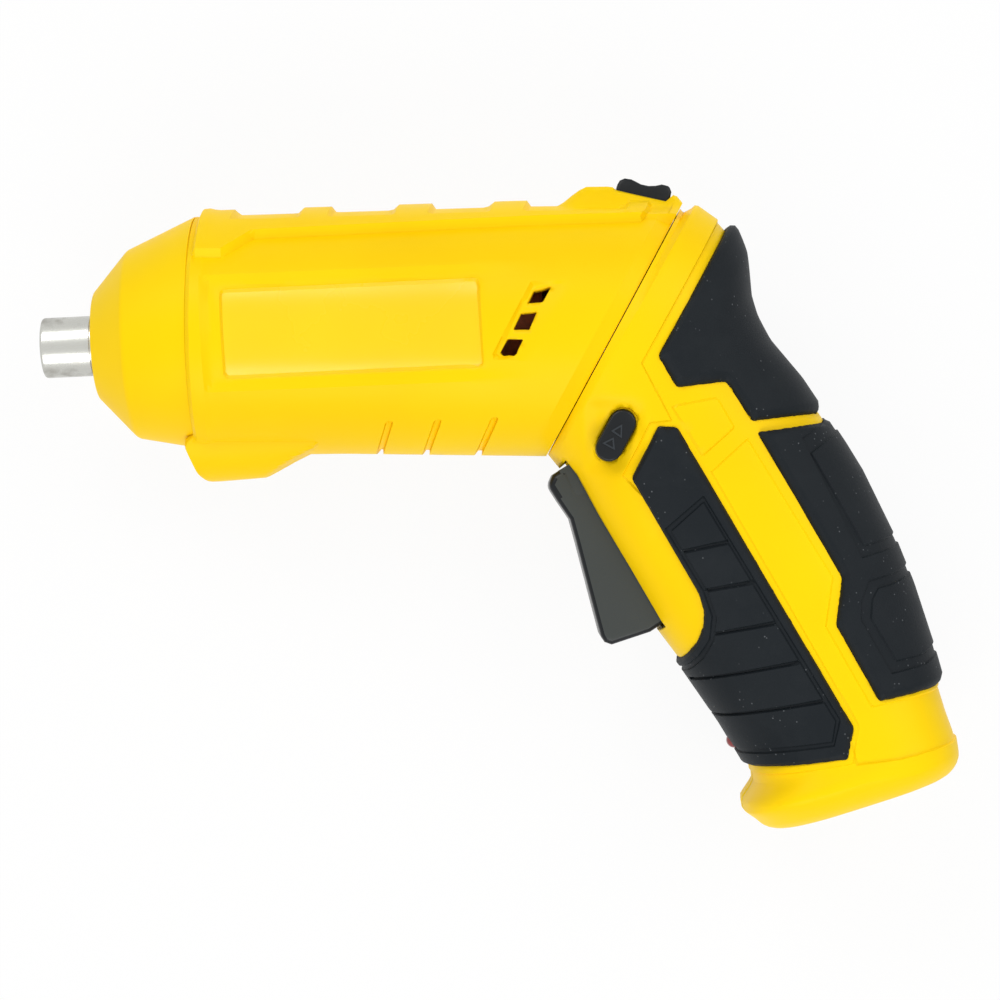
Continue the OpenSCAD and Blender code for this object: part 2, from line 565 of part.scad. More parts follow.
module bit_magnet() color("#d5d6d8") along_x(hex_depth + 0.1) cylinder(h = 2.9, r = 2.95, $fn = 48);
module retaining_ring() color("#6a6d70") along_x(retainer_x + 0.1) rotate([0, 0, 20])
    rotate_extrude(angle = 320, $fn = round_fn)
        translate([journal_r - 0.5, 0]) square([1.7, 0.8]);
module carrier_2() color("#9a9da1") union() {
    tube_x(carrier_x, carrier_t, carrier_r, spindle_r);
    carrier_pins(carrier_x + carrier_t - 0.5, planet_w + 0.5 + fit);
}
module carrier_1() color("#9a9da1") union() {
    along_x(stage1_x - fit - carrier_t) cylinder(h = carrier_t, r = carrier_r, $fn = round_fn);
    sun_gear(stage2_x + 0.4, stage1_x - fit - carrier_t - stage2_x + 0.1, 0);
    carrier_pins(stage1_x - fit - 0.5, planet_w + 0.5 + fit);
}
module motor_pinion() color("#b08d45") sun_gear(shaft_front_x, planet_w + 0.4, shaft_r);
module motor_shaft() color("#d8dadc")
    along_x(shaft_front_x) cylinder(h = motor_rear_x + cap_t - shaft_front_x, r = shaft_r, $fn = 48);
rotor_r = magnet_r - 0.5;
module rotor_core() color(copper) difference() {
    along_x(motor_x + 7) cylinder(h = motor_len - 20, r = rotor_r, $fn = round_fn);
    along_x(motor_x) cylinder(h = motor_len, r = shaft_r, $fn = 48);
    for (turn = [0:72:288]) along_x(motor_x) rotate([0, 0, turn]) union() {
        translate([rotor_r - 3.4, -0.7, 0]) cube([6, 1.4, motor_len]);
        translate([rotor_r - 4.2, 0, 0]) cylinder(h = motor_len, r = 1.7, $fn = 32);
    }
}
module commutator() color(copper) tube_x(motor_rear_x - 7, 6, 3.5, shaft_r);

// Handle casing, a loft whose rings lean from the swivel's tilt to the slope of the foot
first_s = half_gap / cos(joint_tilt);
function lean(s) = tan(joint_tilt)
    - (tan(joint_tilt) + base_slope) * max(0, s - first_s) / (handle_len - first_s);
// The outlines are drawn for a handle 112.3 long, and stretch below the trigger
function stretched(a) = a < 40 ? a : 40 + (a - 40) * (handle_len - 40) / 72.3;
function scaled(line) = [for (p = line) [stretched(p[0]), p[1]]];
back_of = scaled(back_line);
front_of = scaled(front_line);
half_of = scaled(half_line);
power_of = scaled(power_line);
function edge_at(line, s, b, steps) =
    steps == 0 ? b : edge_at(line, s, lookup(s - lean(s) * b, line), steps - 1);
function back_at(s) = edge_at(back_of, s, 26, 8);
function front_at(s) = edge_at(front_of, s, -24, 8);
// The last rings draw in to round the foot's rim
function rim_in(s) = let (d = s - (handle_len - base_round))
    d <= 0 ? 0 : base_round - sqrt(max(0, base_round * base_round - d * d));
function powered(x, p) = sign(x) * pow(abs(x), p);
function skin(s, t, off) = let (back = back_at(s), front = front_at(s), inset = off - rim_in(s),
    mid = (back + front) / 2, reach = (back - front) / 2 + inset, half = lookup(s, half_of) + inset,
    e = 2 / lookup(s, power_of), b = mid + reach * powered(cos(t), e), z = half * powered(sin(t), e))
    [s - lean(s) * b, b, z];
// The angle at which the ring at station s crosses depth b
function angle_at(s, b) = let (back = back_at(s), front = front_at(s),
    c = max(-1, min(1, (b - (back + front) / 2) / ((back - front) / 2))))
    acos(powered(c, lookup(s, power_of) / 2));
module patch_solid(outer, inner, rows, cols) {
    n = rows * cols;
    at = function (i, j) i * cols + j;
    faces = concat(
        [for (i = [0:rows - 2], j = [0:cols - 2]) each [[at(i, j), at(i + 1, j), at(i + 1, j + 1)],
            [at(i, j), at(i + 1, j + 1), at(i, j + 1)]]],
        [for (i = [0:rows - 2], j = [0:cols - 2]) each [
            [n + at(i, j), n + at(i + 1, j + 1), n + at(i + 1, j)],
            [n + at(i, j), n + at(i, j + 1), n + at(i + 1, j + 1)]]],
        [for (i = [0:rows - 2]) each [[at(i, 0), n + at(i, 0), n + at(i + 1, 0)],
            [at(i, 0), n + at(i + 1, 0), at(i + 1, 0)],
            [at(i, cols - 1), n + at(i + 1, cols - 1), n + at(i, cols - 1)],
            [at(i, cols - 1), at(i + 1, cols - 1), n + at(i + 1, cols - 1)]]],
        [for (j = [0:cols - 2]) each [[at(0, j), at(0, j + 1), n + at(0, j + 1)],
            [at(0, j), n + at(0, j + 1), n + at(0, j)],
            [at(rows - 1, j), n + at(rows - 1, j + 1), at(rows - 1, j + 1)],
            [at(rows - 1, j), n + at(rows - 1, j), n + at(rows - 1, j + 1)]]]);
    polyhedron(concat(outer, inner), faces, convexity = 6);
}
skin_t = [0, 14, 27, 39, 50, 60, 70, 80, 90, 100, 110, 120, 130, 141, 153, 166, 180];
handle_stations = concat([first_s, 3, 6, 9, 12, 15, 18, 22, 26, 30, 35],
    [for (k = [0:10]) 41 + k * (handle_len - 62) / 10], [for (k = [1:7]) handle_len - 21 + k * 18.6 / 7],
    [handle_len - 1.2, handle_len - 0.3, handle_len]);
// A ring drawn in to the mid-plane closes the foot
function closing_ring(s, off) =
    let (back = back_at(s) + off, front = front_at(s) - off, mid = (back + front) / 2)
    [for (t = skin_t) let (b = mid + 0.8 * (back - mid) * cos(t)) [s - lean(s) * b, b, 0]];
module handle_skin() {
    last = handle_stations[len(handle_stations) - 1];
    inner_scale = (last - first_s - wall) / (last - first_s);
    inner_of = [for (s = handle_stations) first_s + (s - first_s) * inner_scale];
    outer = concat([for (s = handle_stations, t = skin_t) skin(s, t, 0)], closing_ring(last, 0));
    inner = concat([for (s = inner_of, t = skin_t) skin(s, t, -wall)], closing_ring(last - wall, -wall - 1));
    patch_solid(outer, inner, len(handle_stations) + 1, len(skin_t));
}
module handle_end_wall() difference() {
    intersection() {
        in_handle_bore(body_r - 0.7, -30, 60);
        swivel_in_handle() translate([0, 0, half_gap + fit])
            cylinder(h = end_wall_t, r = 45, $fn = round_fn);
    }
    swivel_in_handle() cylinder(h = 20, r = ring_r + seat, $fn = round_fn);
    swivel_in_handle() translate([0, 0, ring_flange_z - seat])
        cylinder(h = ring_rear_z - ring_flange_z + 2 * seat, r = hub_flange_r + seat, $fn = round_fn);
}
module in_handle_bore(r, from, len) rotate([0, 90, 0]) translate([0, 0, from])
    cylinder(h = len, r = r, $fn = round_fn);
module swivel_in_handle() rotate([0, 0, handle_tilt - joint_tilt]) rotate([0, 90, 0]) children();
module stadium(w, l, depth) linear_extrude(depth) union() {
    square([w, l - w], center = true);
    for (y = [-1, 1]) translate([0, y * (l - w) / 2]) circle(d = w, $fn = 48);
}
module at_direction() translate([direction_at[0], direction_at[1], 0]) rotate([0, 0, joint_tilt]) children();
module handle_shell(side) color(yellow) in_handle() side_of(side) difference() {
    union() {
        handle_skin();
        intersection() {
            handle_end_wall();
            half_space(1);
        }
        for (p = handle_screw_at) translate([p[0], p[1], 0]) cylinder(h = p[2], r = boss_r, $fn = 48);
        // Cradle ribs for the cell, and the switch's and trigger pin's seats
        for (a = [cell_a + 12, cell_a + 46]) translate([a, cell_b - 10, 0]) cube([2, 20, grip_half - 1.6]);
        translate([trigger_pivot[0], trigger_pivot[1], trigger_half + fit])
            cylinder(h = pin_end - trigger_half - fit, r = 2.2, $fn = 48);
        translate([switch_at[0] + 2, switch_at[1] + 2, switch_size[2] / 2 + seat])
            cube([14, 9, grip_half - 9.6]);
        translate([trigger_spring_a - 3, spring_seat_b, 0]) cube([6, 2, grip_half - 4]);
        translate([board_a + 2, board_b - 1.6, board_half + seat]) cube([board_len - 4, 4.2, 8]);
    }
    cell_bore(cell_d / 2 + seat);
    // Trigger opening
    translate([trigger_pivot[0] - 4.2, -60, -1])
        cube([trigger_reach + 4.8, 60 + trigger_rear_b + trigger_reach * sin(trigger_travel) + 2 * fit,
            trigger_half + fit + 1]);
    translate([trigger_pivot[0], trigger_pivot[1], 0])
        cylinder(h = pin_end, r = trigger_pin_r + seat, $fn = 32);
    at_direction() translate([0, 0, -1]) stadium(direction_w + 0.4, direction_l + 0.4, 40);
    translate([board_a - 0.1, board_b - seat, -1])
        cube([board_len + 0.2, board_t + 2 * seat, board_half + 1 + seat]);
    translate([indicator_a, 0, 0]) rotate([90, 0, 0])
        cylinder(h = 40, r = indicator_head_r + seat, $fn = 32);
    translate([handle_len - 15.3, socket_b, 0]) rotate([0, 90, 0])
        cylinder(h = 30, r = socket_r + seat, $fn = 48);
    for (p = handle_screw_at) translate([p[0], p[1], 0]) if (side > 0) {
        translate([0, 0, -1]) cylinder(h = 9, r = screw_r + seat, $fn = 32);
    } else {
        translate([0, 0, -1]) cylinder(h = 41, r = screw_r + 0.2, $fn = 32);
        translate([0, 0, 8]) cylinder(h = 40, r = screw_head_r + 0.2, $fn = 48);
    }
}
module cell_bore(r) translate([cell_a, cell_b, 0]) rotate([0, 90, 0])
    cylinder(h = cell_len, r = r, $fn = round_fn);
module handle_screws() color(steel) in_handle() for (p = handle_screw_at)
    translate([p[0], p[1], -8 - 1.8]) rotate([180, 0, 0]) screw(screw_head_r, 1.8, screw_r, 8 + 1.8 + 7.5);

// Soft grips, each a patch of the handle's skin between two edges
thumb_front = [[10.6, 3.1], [18.6, 3.3], [26.2, 12.8], [35.2, 13.3], [42.6, 25]];
palm_back = [[37.6, 13.2], [44.8, 25.4], [45.4, 40]];
palm_front = [[37.6, 12.9], [68.3, 12.7], [74.9, 6.6], [94, 6.3]];
finger_back = [[20.4, -4], [23.7, -0.6], [96, -0.9]];
finger_front = [[20.4, -4.4], [22, -13.8], [52.1, -14], [56.1, -14.9], [58.6, -16.5], [60.6, -19.1],
    [62, -40]];
function grip_rows(from, to, n) = [for (k = [0:n]) from + (to - from) * k / n];
module grip(rows, back_edge, front_edge, side) {
    cols = 9;
    at = function (s, j, off)
        let (t0 = angle_at(s, lookup(s, back_edge)), t1 = angle_at(s, lookup(s, front_edge)))
        skin(s, t0 + (max(t1, t0 + 1.5) - t0) * j / (cols - 1), off);
    outer = [for (s = rows, j = [0:cols - 1]) at(s, j, grip_rise)];
    inner = [for (s = rows, j = [0:cols - 1]) at(s, j, grip_bed)];
    color(black) in_handle() side_of(side) difference() {
        patch_solid(outer, inner, len(rows), cols);
        if (side < 0) for (p = handle_screw_at) translate([p[0], p[1], 5])
            cylinder(h = 40, r = screw_head_r + 0.2, $fn = 48);
    }
}
module thumb_grip(side) grip(grip_rows(10.6, 42.6, 12), [[0, 60], [100, 60]], scaled(thumb_front), side);
module palm_grip(side) grip(grip_rows(37.6, stretched(94), 18), scaled(palm_back), scaled(palm_front), side);
module finger_grip(side) difference() {
    grip(grip_rows(20.4, stretched(94.6), 22), scaled(finger_back), scaled(finger_front), side);
    in_handle() translate([indicator_a, 0, 0]) rotate([90, 0, 0]) cylinder(h = 40, r = 2.2, $fn = 32);
}

module battery_cell() color("#2f6fb0") in_handle() cell_bore(cell_d / 2);
module battery_tabs() color("#c8cacc") in_handle() for (a = [cell_a - 0.4, cell_a + cell_len])
    translate([a, cell_b - 3, -3]) cube([0.3, 6, 6]);
module charge_board() color("#1f6b45") in_handle() translate([board_a, board_b, -board_half])
    cube([board_len, board_t, 2 * board_half]);
module charge_socket() color("#202123") in_handle() difference() {
    union() {
        translate([handle_len - 15.3, socket_b, 0]) rotate([0, 90, 0])
            cylinder(h = 11, r = socket_r, $fn = 48);
        translate([handle_len - 15.3, board_b - 1.2, -3]) cube([4, 1.15, 6]);
    }
    translate([handle_len - 12.3, socket_b, 0]) rotate([0, 90, 0]) difference() {
        cylinder(h = 20, r = 2.75, $fn = 48);
        translate([0, 0, -1]) cylinder(h = 9, r = 0.65, $fn = 32);
    }
}
module charge_indicator() color("#c3201c") in_handle() union() {
    translate([indicator_a, board_b - 0.1, 0]) rotate([90, 0, 0])
        cylinder(h = -front_at_a(indicator_a) + board_b + 0.2, r = indicator_r, $fn = 32);
    translate([indicator_a, front_at_a(indicator_a), 0]) sphere(r = indicator_head_r, $fn = 32);
}
function front_at_a(a) = lookup(a, front_of);
module switch_body() color("#2d2f31") in_handle() difference() {
    translate([switch_at[0], switch_at[1], -switch_size[2] / 2]) cube(switch_size);
    translate([plunger_a, switch_at[1] - 1, 0]) rotate([-90, 0, 0])
        cylinder(h = 9, r = plunger_r + run_gap, $fn = 48);
    at_direction() translate([0, 0, -20]) stadium(direction_w + 0.8, direction_l + 0.8, 40);
}
module switch_plunger() color("#d9d9d6") in_handle() translate([plunger_a, trigger_rear_b + fit, 0])
    rotate([-90, 0, 0]) cylinder(h = 9, r = plunger_r, $fn = 48);
module handle_leads() {
    for (y = [1, -1]) color(y > 0 ? "#a32a22" : "#1d1d1f") in_handle() sweep([
        [5.2, y * 1.2 + 3.2, 0], [8, y * 1.2 + 3.2, 0], [11.5, y * 1.3 + 1.4, 0], [15, y * 1.5 - 1.6, 0],
        [18.5, y * 1.8 - 3.6, 0], [switch_at[0] - 0.4, y * 1.8 - 4.4, 0]], 0.75, 8);
}
module trigger_pin() color(steel) in_handle() translate([trigger_pivot[0], trigger_pivot[1], -pin_end + seat])
    cylinder(h = 2 * (pin_end - seat), r = trigger_pin_r, $fn = 48);
module trigger_spring() color(steel) in_handle() translate([trigger_spring_a, trigger_rear_b + seat, 0])
    rotate([-90, 0, 0]) coil(6, 2, 0.3, spring_seat_b - trigger_rear_b - 2 * seat);

// Trigger, drawn at rest
trigger_line = [[18.9, -24], [19.5, -27.6], [20.8, -28.8], [24.5, -28.7], [29.2, -28.4], [33.6, -29.6],
    [44, -32.6], [53.1, -35.2], [54.6, -35.2], [55.8, -34.2], [57.6, -26], [57.2, trigger_rear_b],
    [26, trigger_rear_b], [25, -24]];
module trigger() color("#34373a") in_handle() difference() {
    union() {
        translate([0, 0, -trigger_half]) linear_extrude(2 * trigger_half) polygon(trigger_line);
        translate([trigger_pivot[0], trigger_pivot[1], -trigger_half])
            cylinder(h = 2 * trigger_half, r = 2.5, $fn = 48);
        translate([trigger_pivot[0] - 1.6, trigger_pivot[1] - 6, -trigger_half])
            cube([6, 6, 2 * trigger_half]);
    }
    translate([trigger_pivot[0], trigger_pivot[1], -20])
        cylinder(h = 40, r = trigger_pin_r + run_gap, $fn = 48);
}
module direction_button() color(black) in_handle() at_direction()
    translate([0, 0, -direction_half]) stadium(direction_w, direction_l, 2 * direction_half);

barrel_shell(1);  // barrel_left_shell
barrel_shell(-1);  // barrel_right_shell
nose_cone();
led_lens();
led_lamp();
gearbox_housing();
gearbox_cover();
gearbox_screws();
spindle_bushing();
motor_can();
motor_magnets();
motor_end_cap();
motor_brushes();
motor_terminals();
terminal_sleeve();
motor_screws();
motor_leads();
barrel_screws();
swivel_hub();
swivel_plate();
swivel_screws();
latch_spring();
bit_holder();
bit_magnet();
retaining_ring();
carrier_2();
carrier_1();
color(steel) planet_gear(stage1_x, planet_at[0]);  // planet_1a
color(steel) planet_gear(stage1_x, planet_at[1]);  // planet_1b
color(steel) planet_gear(stage1_x, planet_at[2]);  // planet_1c
color(steel) planet_gear(stage2_x, planet_at[0]);  // planet_2a
color(steel) planet_gear(stage2_x, planet_at[1]);  // planet_2b
color(steel) planet_gear(stage2_x, planet_at[2]);  // planet_2c
motor_shaft();
rotor_core();
commutator();
motor_pinion();
handle_shell(1);  // handle_left_shell
handle_shell(-1);  // handle_right_shell
thumb_grip(1);  // thumb_grip_left
thumb_grip(-1);  // thumb_grip_right
palm_grip(1);  // palm_grip_left
palm_grip(-1);  // palm_grip_right
finger_grip(1);  // finger_grip_left
finger_grip(-1);  // finger_grip_right
swivel_ring();
battery_cell();
battery_tabs();
charge_board();
charge_socket();
charge_indicator();
switch_body();
handle_leads();
handle_screws();
trigger_pin();
trigger_spring();
switch_plunger();
latch_button();
trigger();
direction_button();
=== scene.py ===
# Folding battery screwdriver, seen from above its left side.
# The shapes are worked out in millimetres, in the frame of the CAD model, and written in metres.
import json
import math
from collections import defaultdict

import bmesh
import bpy
import numpy as np
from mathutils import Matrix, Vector


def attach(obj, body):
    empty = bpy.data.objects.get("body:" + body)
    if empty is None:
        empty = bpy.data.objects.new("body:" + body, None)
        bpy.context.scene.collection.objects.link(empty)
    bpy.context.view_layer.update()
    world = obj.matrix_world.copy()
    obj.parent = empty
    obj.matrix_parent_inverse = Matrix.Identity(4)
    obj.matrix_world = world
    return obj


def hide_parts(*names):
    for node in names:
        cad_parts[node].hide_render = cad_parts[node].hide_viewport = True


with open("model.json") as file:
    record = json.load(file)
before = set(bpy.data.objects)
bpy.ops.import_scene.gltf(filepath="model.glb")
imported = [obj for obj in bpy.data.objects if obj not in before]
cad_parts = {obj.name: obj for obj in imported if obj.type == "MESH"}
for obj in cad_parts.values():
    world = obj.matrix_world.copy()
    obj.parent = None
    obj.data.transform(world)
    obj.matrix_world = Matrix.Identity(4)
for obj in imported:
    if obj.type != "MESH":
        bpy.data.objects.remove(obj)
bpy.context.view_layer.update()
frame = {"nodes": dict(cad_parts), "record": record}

RADIUS = 25.2
JOINT = np.array([119.5, -1.85])
DROOP = math.radians(2)
AXIS = np.array([math.cos(DROOP), -math.sin(DROOP)])
UP = np.array([math.sin(DROOP), math.cos(DROOP)])
SWIVEL = math.radians(31)
HALF_GAP = 0.1
FRONT_S = -87.1
SPAN = 88.0
SEAM = 0.04
BARREL_SCREWS = [(63, 18.6), (63, -18.6), (100, 17.6), (48, -23.4)]
HANDLE_SCREWS = [(11, 20), (34, 19.5), (66, 19.5), (58, -11), (96, 15.6)]


# Camera: straight above, with the bit holder pointing left
camera_data = bpy.data.cameras.new("camera")
camera = bpy.data.objects.new("camera", camera_data)
bpy.context.scene.collection.objects.link(camera)
turn = math.radians(2.7)
camera.location = (0.09387, -0.03626, 0.53)
camera.rotation_euler = (0, 0, -turn)
camera_data.sensor_width = 36
camera_data.lens = 91.03
camera_data.clip_start = 0.01
bpy.context.scene.camera = camera


# Shapes
def smooth(x, low, high):
    t = np.clip((x - low) / (high - low), 0, 1)
    return t * t * (3 - 2 * t)


def ease(x, low, high):
    return np.clip((x - low) / (high - low), 0, 1)


def dense(path, step=1.2, closed=False):
    path = np.asarray(path, float)
    if closed:
        path = np.vstack([path, path[:1]])
    out = []
    for a, b in zip(path[:-1], path[1:]):
        n = max(1, int(math.ceil(np.linalg.norm(b - a) / step)))
        out.extend(a + (b - a) * k / n for k in range(n))
    out.append(path[-1])
    return np.array(out)


def rounded(corners, radius, steps=4, closed=True):
    """The outline with its corners rounded off."""
    corners = np.asarray(corners, float)
    n = len(corners)
    out = []
    for i in range(n):
        if not closed and i in (0, n - 1):
            out.append(corners[i])
            continue
        p, a, b = corners[i], corners[i - 1], corners[(i + 1) % n]
        r = radius[i] if hasattr(radius, "__len__") else radius
        cut = min(r, 0.45 * np.linalg.norm(a - p), 0.45 * np.linalg.norm(b - p))
        start = p + (a - p) / np.linalg.norm(a - p) * cut
        end = p + (b - p) / np.linalg.norm(b - p) * cut
        for k in range(steps + 1):
            t = k / steps
            out.append((1 - t) ** 2 * start + 2 * t * (1 - t) * p + t * t * end)
    return np.array(out)


def gap_to(points, path):
    """Distance of each point from the path."""
    best = np.full(len(points), 1e9)
    for a, b in zip(path[:-1], path[1:]):
        d = b - a
        t = np.clip(((points - a) @ d) / max(d @ d, 1e-12), 0, 1)
        best = np.minimum(best, np.linalg.norm(points - a - t[:, None] * d, axis=1))
    return best


def within(points, path):
    """True where a point lies inside the closed path."""
    x, y = points[:, 0], points[:, 1]
    inside = np.zeros(len(points), bool)
    for a, b in zip(path, np.roll(path, -1, axis=0)):
        if a[1] == b[1]:
            continue
        crosses = (a[1] > y) != (b[1] > y)
        inside ^= crosses & (x < (b[0] - a[0]) * (y - a[1]) / (b[1] - a[1]) + a[0])
    return inside


def depth_in(points, path):
    """Distance inside the closed path, negative outside it."""
    loop = path if np.allclose(path[0], path[-1]) else np.vstack([path, path[:1]])
    d = gap_to(points, loop)
    return np.where(within(points, loop[:-1]), d, -d)


def shifted(path, offset):
    """The path moved sideways by the offset."""
    closed = np.allclose(path[0], path[-1])
    pts = path[:-1] if closed else path
    before = np.roll(pts, 1, axis=0)
    after = np.roll(pts, -1, axis=0)
    if not closed:
        before[0] = 2 * pts[0] - pts[1]
        after[-1] = 2 * pts[-1] - pts[-2]
    d0 = (pts - before) / np.maximum(np.linalg.norm(pts - before, axis=1), 1e-9)[:, None]
    d1 = (after - pts) / np.maximum(np.linalg.norm(after - pts, axis=1), 1e-9)[:, None]
    n = np.stack([-(d0 + d1)[:, 1], (d0 + d1)[:, 0]], axis=1)
    n /= np.maximum(np.linalg.norm(n, axis=1), 1e-9)[:, None]
    n0 = np.stack([-d0[:, 1], d0[:, 0]], axis=1)
    out = pts + n * (offset / np.clip((n * n0).sum(1), 0.5, 1))[:, None]
    return np.vstack([out, out[:1]]) if closed else out


def simplified(path, tolerance=0.02):
    """The path without the points that lie on its straights."""
    path = np.asarray(path, float)
    if len(path) < 3:
        return path
    if np.allclose(path[0], path[-1]):
        far = int(np.argmax(np.linalg.norm(path - path[0], axis=1)))
    else:
        gap = gap_to(path, np.array([path[0], path[-1]]))
        far = int(np.argmax(gap))
        if gap[far] < tolerance:
            return np.array([path[0], path[-1]])
    return np.vstack([simplified(path[:far + 1], tolerance), simplified(path[far:], tolerance)[1:]])


class Sheet:
    """A flat grid that is cut along the lines of its relief before it is set on its surface."""

    def __init__(self, x0, x1, y0, y1, cell):
        self.bm = bmesh.new()
        nx, ny = max(2, round((x1 - x0) / cell)), max(2, round((y1 - y0) / cell))
        bmesh.ops.create_grid(self.bm, x_segments=nx, y_segments=ny, size=0.5)
        for v in self.bm.verts:
            v.co = (x0 + (v.co.x + 0.5) * (x1 - x0), y0 + (v.co.y + 0.5) * (y1 - y0), 0)
        self.reach = 1.2 * cell
        self.snap = 0.16
        self.lines = 0
        self.hits = self.bm.verts.layers.int.new("hits")
        self.line = self.bm.verts.layers.int.new("line")
        for v in self.bm.verts:
            v[self.hits] = 2 * int(v.is_boundary)
        self.sort_faces()

    def sort_faces(self):
        self.cells = defaultdict(set)
        for f in self.bm.faces:
            self.file(f)

    def copy(self):
        twin = object.__new__(Sheet)
        twin.bm = self.bm.copy()
        twin.reach, twin.snap, twin.lines = self.reach, self.snap, self.lines
        twin.hits = twin.bm.verts.layers.int["hits"]
        twin.line = twin.bm.verts.layers.int["line"]
        twin.sort_faces()
        return twin

    def file(self, face):
        c = face.calc_center_median()
        self.cells[(int(c.x // 2), int(c.y // 2))].add(face)

    def score(self, path, offsets=(0,), tolerance=0.02):
        """Cuts edges into the grid along the path and beside it."""
        path = simplified(path, tolerance)
        for offset in offsets:
            self.lines += 1
            line = shifted(path, offset) if offset else path
            for a, b in zip(line[:-1], line[1:]):
                self.cut(a, b)

    def cut(self, a, b):
        size = float(np.linalg.norm(b - a))
        if size < 1e-6:
            return
        along = (b - a) / size
        across = np.array([-along[1], along[0]])
        low, high = np.minimum(a, b) - self.reach, np.maximum(a, b) + self.reach
        found = set()
        for i in range(int(low[0] // 2), int(high[0] // 2) + 1):
            for j in range(int(low[1] // 2), int(high[1] // 2) + 1):
                found |= self.cells.get((i, j), set())
        hit = []
        for f in found:
            if not f.is_valid:
                continue
            side, run = [], []
            for v in f.verts:
                dx, dy = v.co.x - a[0], v.co.y - a[1]
                off, far = dx * across[0] + dy * across[1], dx * along[0] + dy * along[1]
                if 1e-6 < abs(off) < self.snap and not v[self.hits] and -0.1 < far < size + 0.1:
                    foot = Vector((v.co.x - off * across[0], v.co.y - off * across[1], 0))
                    if not self.folds(v, foot):
                        v.co = foot
                        v[self.hits] = 1
                        v[self.line] = self.lines
                        off = 0
                side.append(off)
                run.append(far)
            if min(side) < -1e-4 and max(side) > 1e-4 and max(run) > -0.02 and min(run) < size + 0.02:
                hit.append(f)
        if not hit:
            return
        geom = set(hit)
        for f in hit:
            geom.update(f.edges)
            geom.update(f.verts)
        done = bmesh.ops.bisect_plane(self.bm, geom=list(geom), dist=1e-4, plane_co=(a[0], a[1], 0),
                                      plane_no=(across[0], across[1], 0))
        for g in done["geom"]:
            if isinstance(g, bmesh.types.BMFace):
                self.file(g)
        for g in done["geom_cut"]:
            if isinstance(g, bmesh.types.BMVert):
                g[self.hits] += 1
                g[self.line] = self.lines

    @staticmethod
    def folds(vert, to):
        """True if a face turns over when the vertex moves there."""
        for f in vert.link_faces:
            ring = [to if v is vert else v.co for v in f.verts]
            if sum(p.x * q.y - q.x * p.y for p, q in zip(ring, ring[1:] + ring[:1])) < -1e-5:
                return True
        return False

    def points(self):
        return np.array([v.co[:] for v in self.bm.verts])[:, :2]

    def drop(self, test):
        """Removes the faces whose centres pass the test."""
        faces = list(self.bm.faces)
        centres = np.array([f.calc_center_median()[:] for f in faces])[:, :2]
        gone = [f for f, out in zip(faces, test(centres)) if out]
        bmesh.ops.delete(self.bm, geom=gone, context="FACES")

    def tidy(self, reach=0.3):
        """Draws loose corners into the cut lines, and closes up the short steps along them."""
        for _ in range(4):
            short = sorted((e.calc_length(), i) for i, e in enumerate(self.bm.edges)
                           if e.calc_length() < reach)
            self.bm.edges.ensure_lookup_table()
            busy, pull = set(), {}

            for length, i in short:
                a, b = self.bm.edges[i].verts
                if a[self.hits] > b[self.hits]:
                    a, b = b, a
                if a in busy or b in busy or (a.is_boundary and not b.is_boundary):
                    continue
                loose = a[self.hits] == 0
                same_line = a[self.hits] == 1 and a[self.line] == b[self.line]
                if not (loose or same_line or (length < 0.1 and a[self.hits] < 3) or length < 0.03):
                    continue
                if not self.folds(a, b.co):
                    pull[a] = b
                    for e in a.link_edges:
                        busy.update(e.verts)
            if not pull:
                break
            bmesh.ops.weld_verts(self.bm, targetmap=pull)
        bmesh.ops.dissolve_degenerate(self.bm, edges=self.bm.edges[:], dist=1e-4)

    def place(self, positions):
        """Sets the sheet's points on the surface, with the faces outwards."""
        for v, p in zip(self.bm.verts, positions):
            v.co = p
        bmesh.ops.reverse_faces(self.bm, faces=self.bm.faces[:])


def crease(bm, angle):
    limit = math.radians(angle)
    for e in bm.edges:
        e.smooth = not (len(e.link_faces) == 2 and e.calc_face_angle(0) > limit)
    for f in bm.faces:
        f.smooth = True


def finished(name, bm, body, material, replaces=(), wall=0.0, mirror=False, angle=30, outward=True):
    """Writes the mesh as an object in metres that rides on a body."""
    bmesh.ops.triangulate(bm, faces=[f for f in bm.faces if len(f.verts) > 3], quad_method="BEAUTY",
                          ngon_method="BEAUTY")
    if mirror:
        for v in bm.verts:
            v.co.z = -v.co.z
        bmesh.ops.reverse_faces(bm, faces=bm.faces[:])
    crease(bm, angle)
    bmesh.ops.scale(bm, vec=(0.001, 0.001, 0.001), verts=bm.verts[:])
    mesh = bpy.data.meshes.new(name)
    bm.to_mesh(mesh)
    bm.free()
    piece = bpy.data.objects.new(name, mesh)
    bpy.context.scene.collection.objects.link(piece)
    mesh.materials.append(material)
    if wall:
        shell = piece.modifiers.new("wall", "SOLIDIFY")
        shell.thickness = wall / 1000
        shell.offset = -1
        shell.use_even_offset = False
    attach(piece, body)
    if replaces:
        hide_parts(*replaces)
    return piece


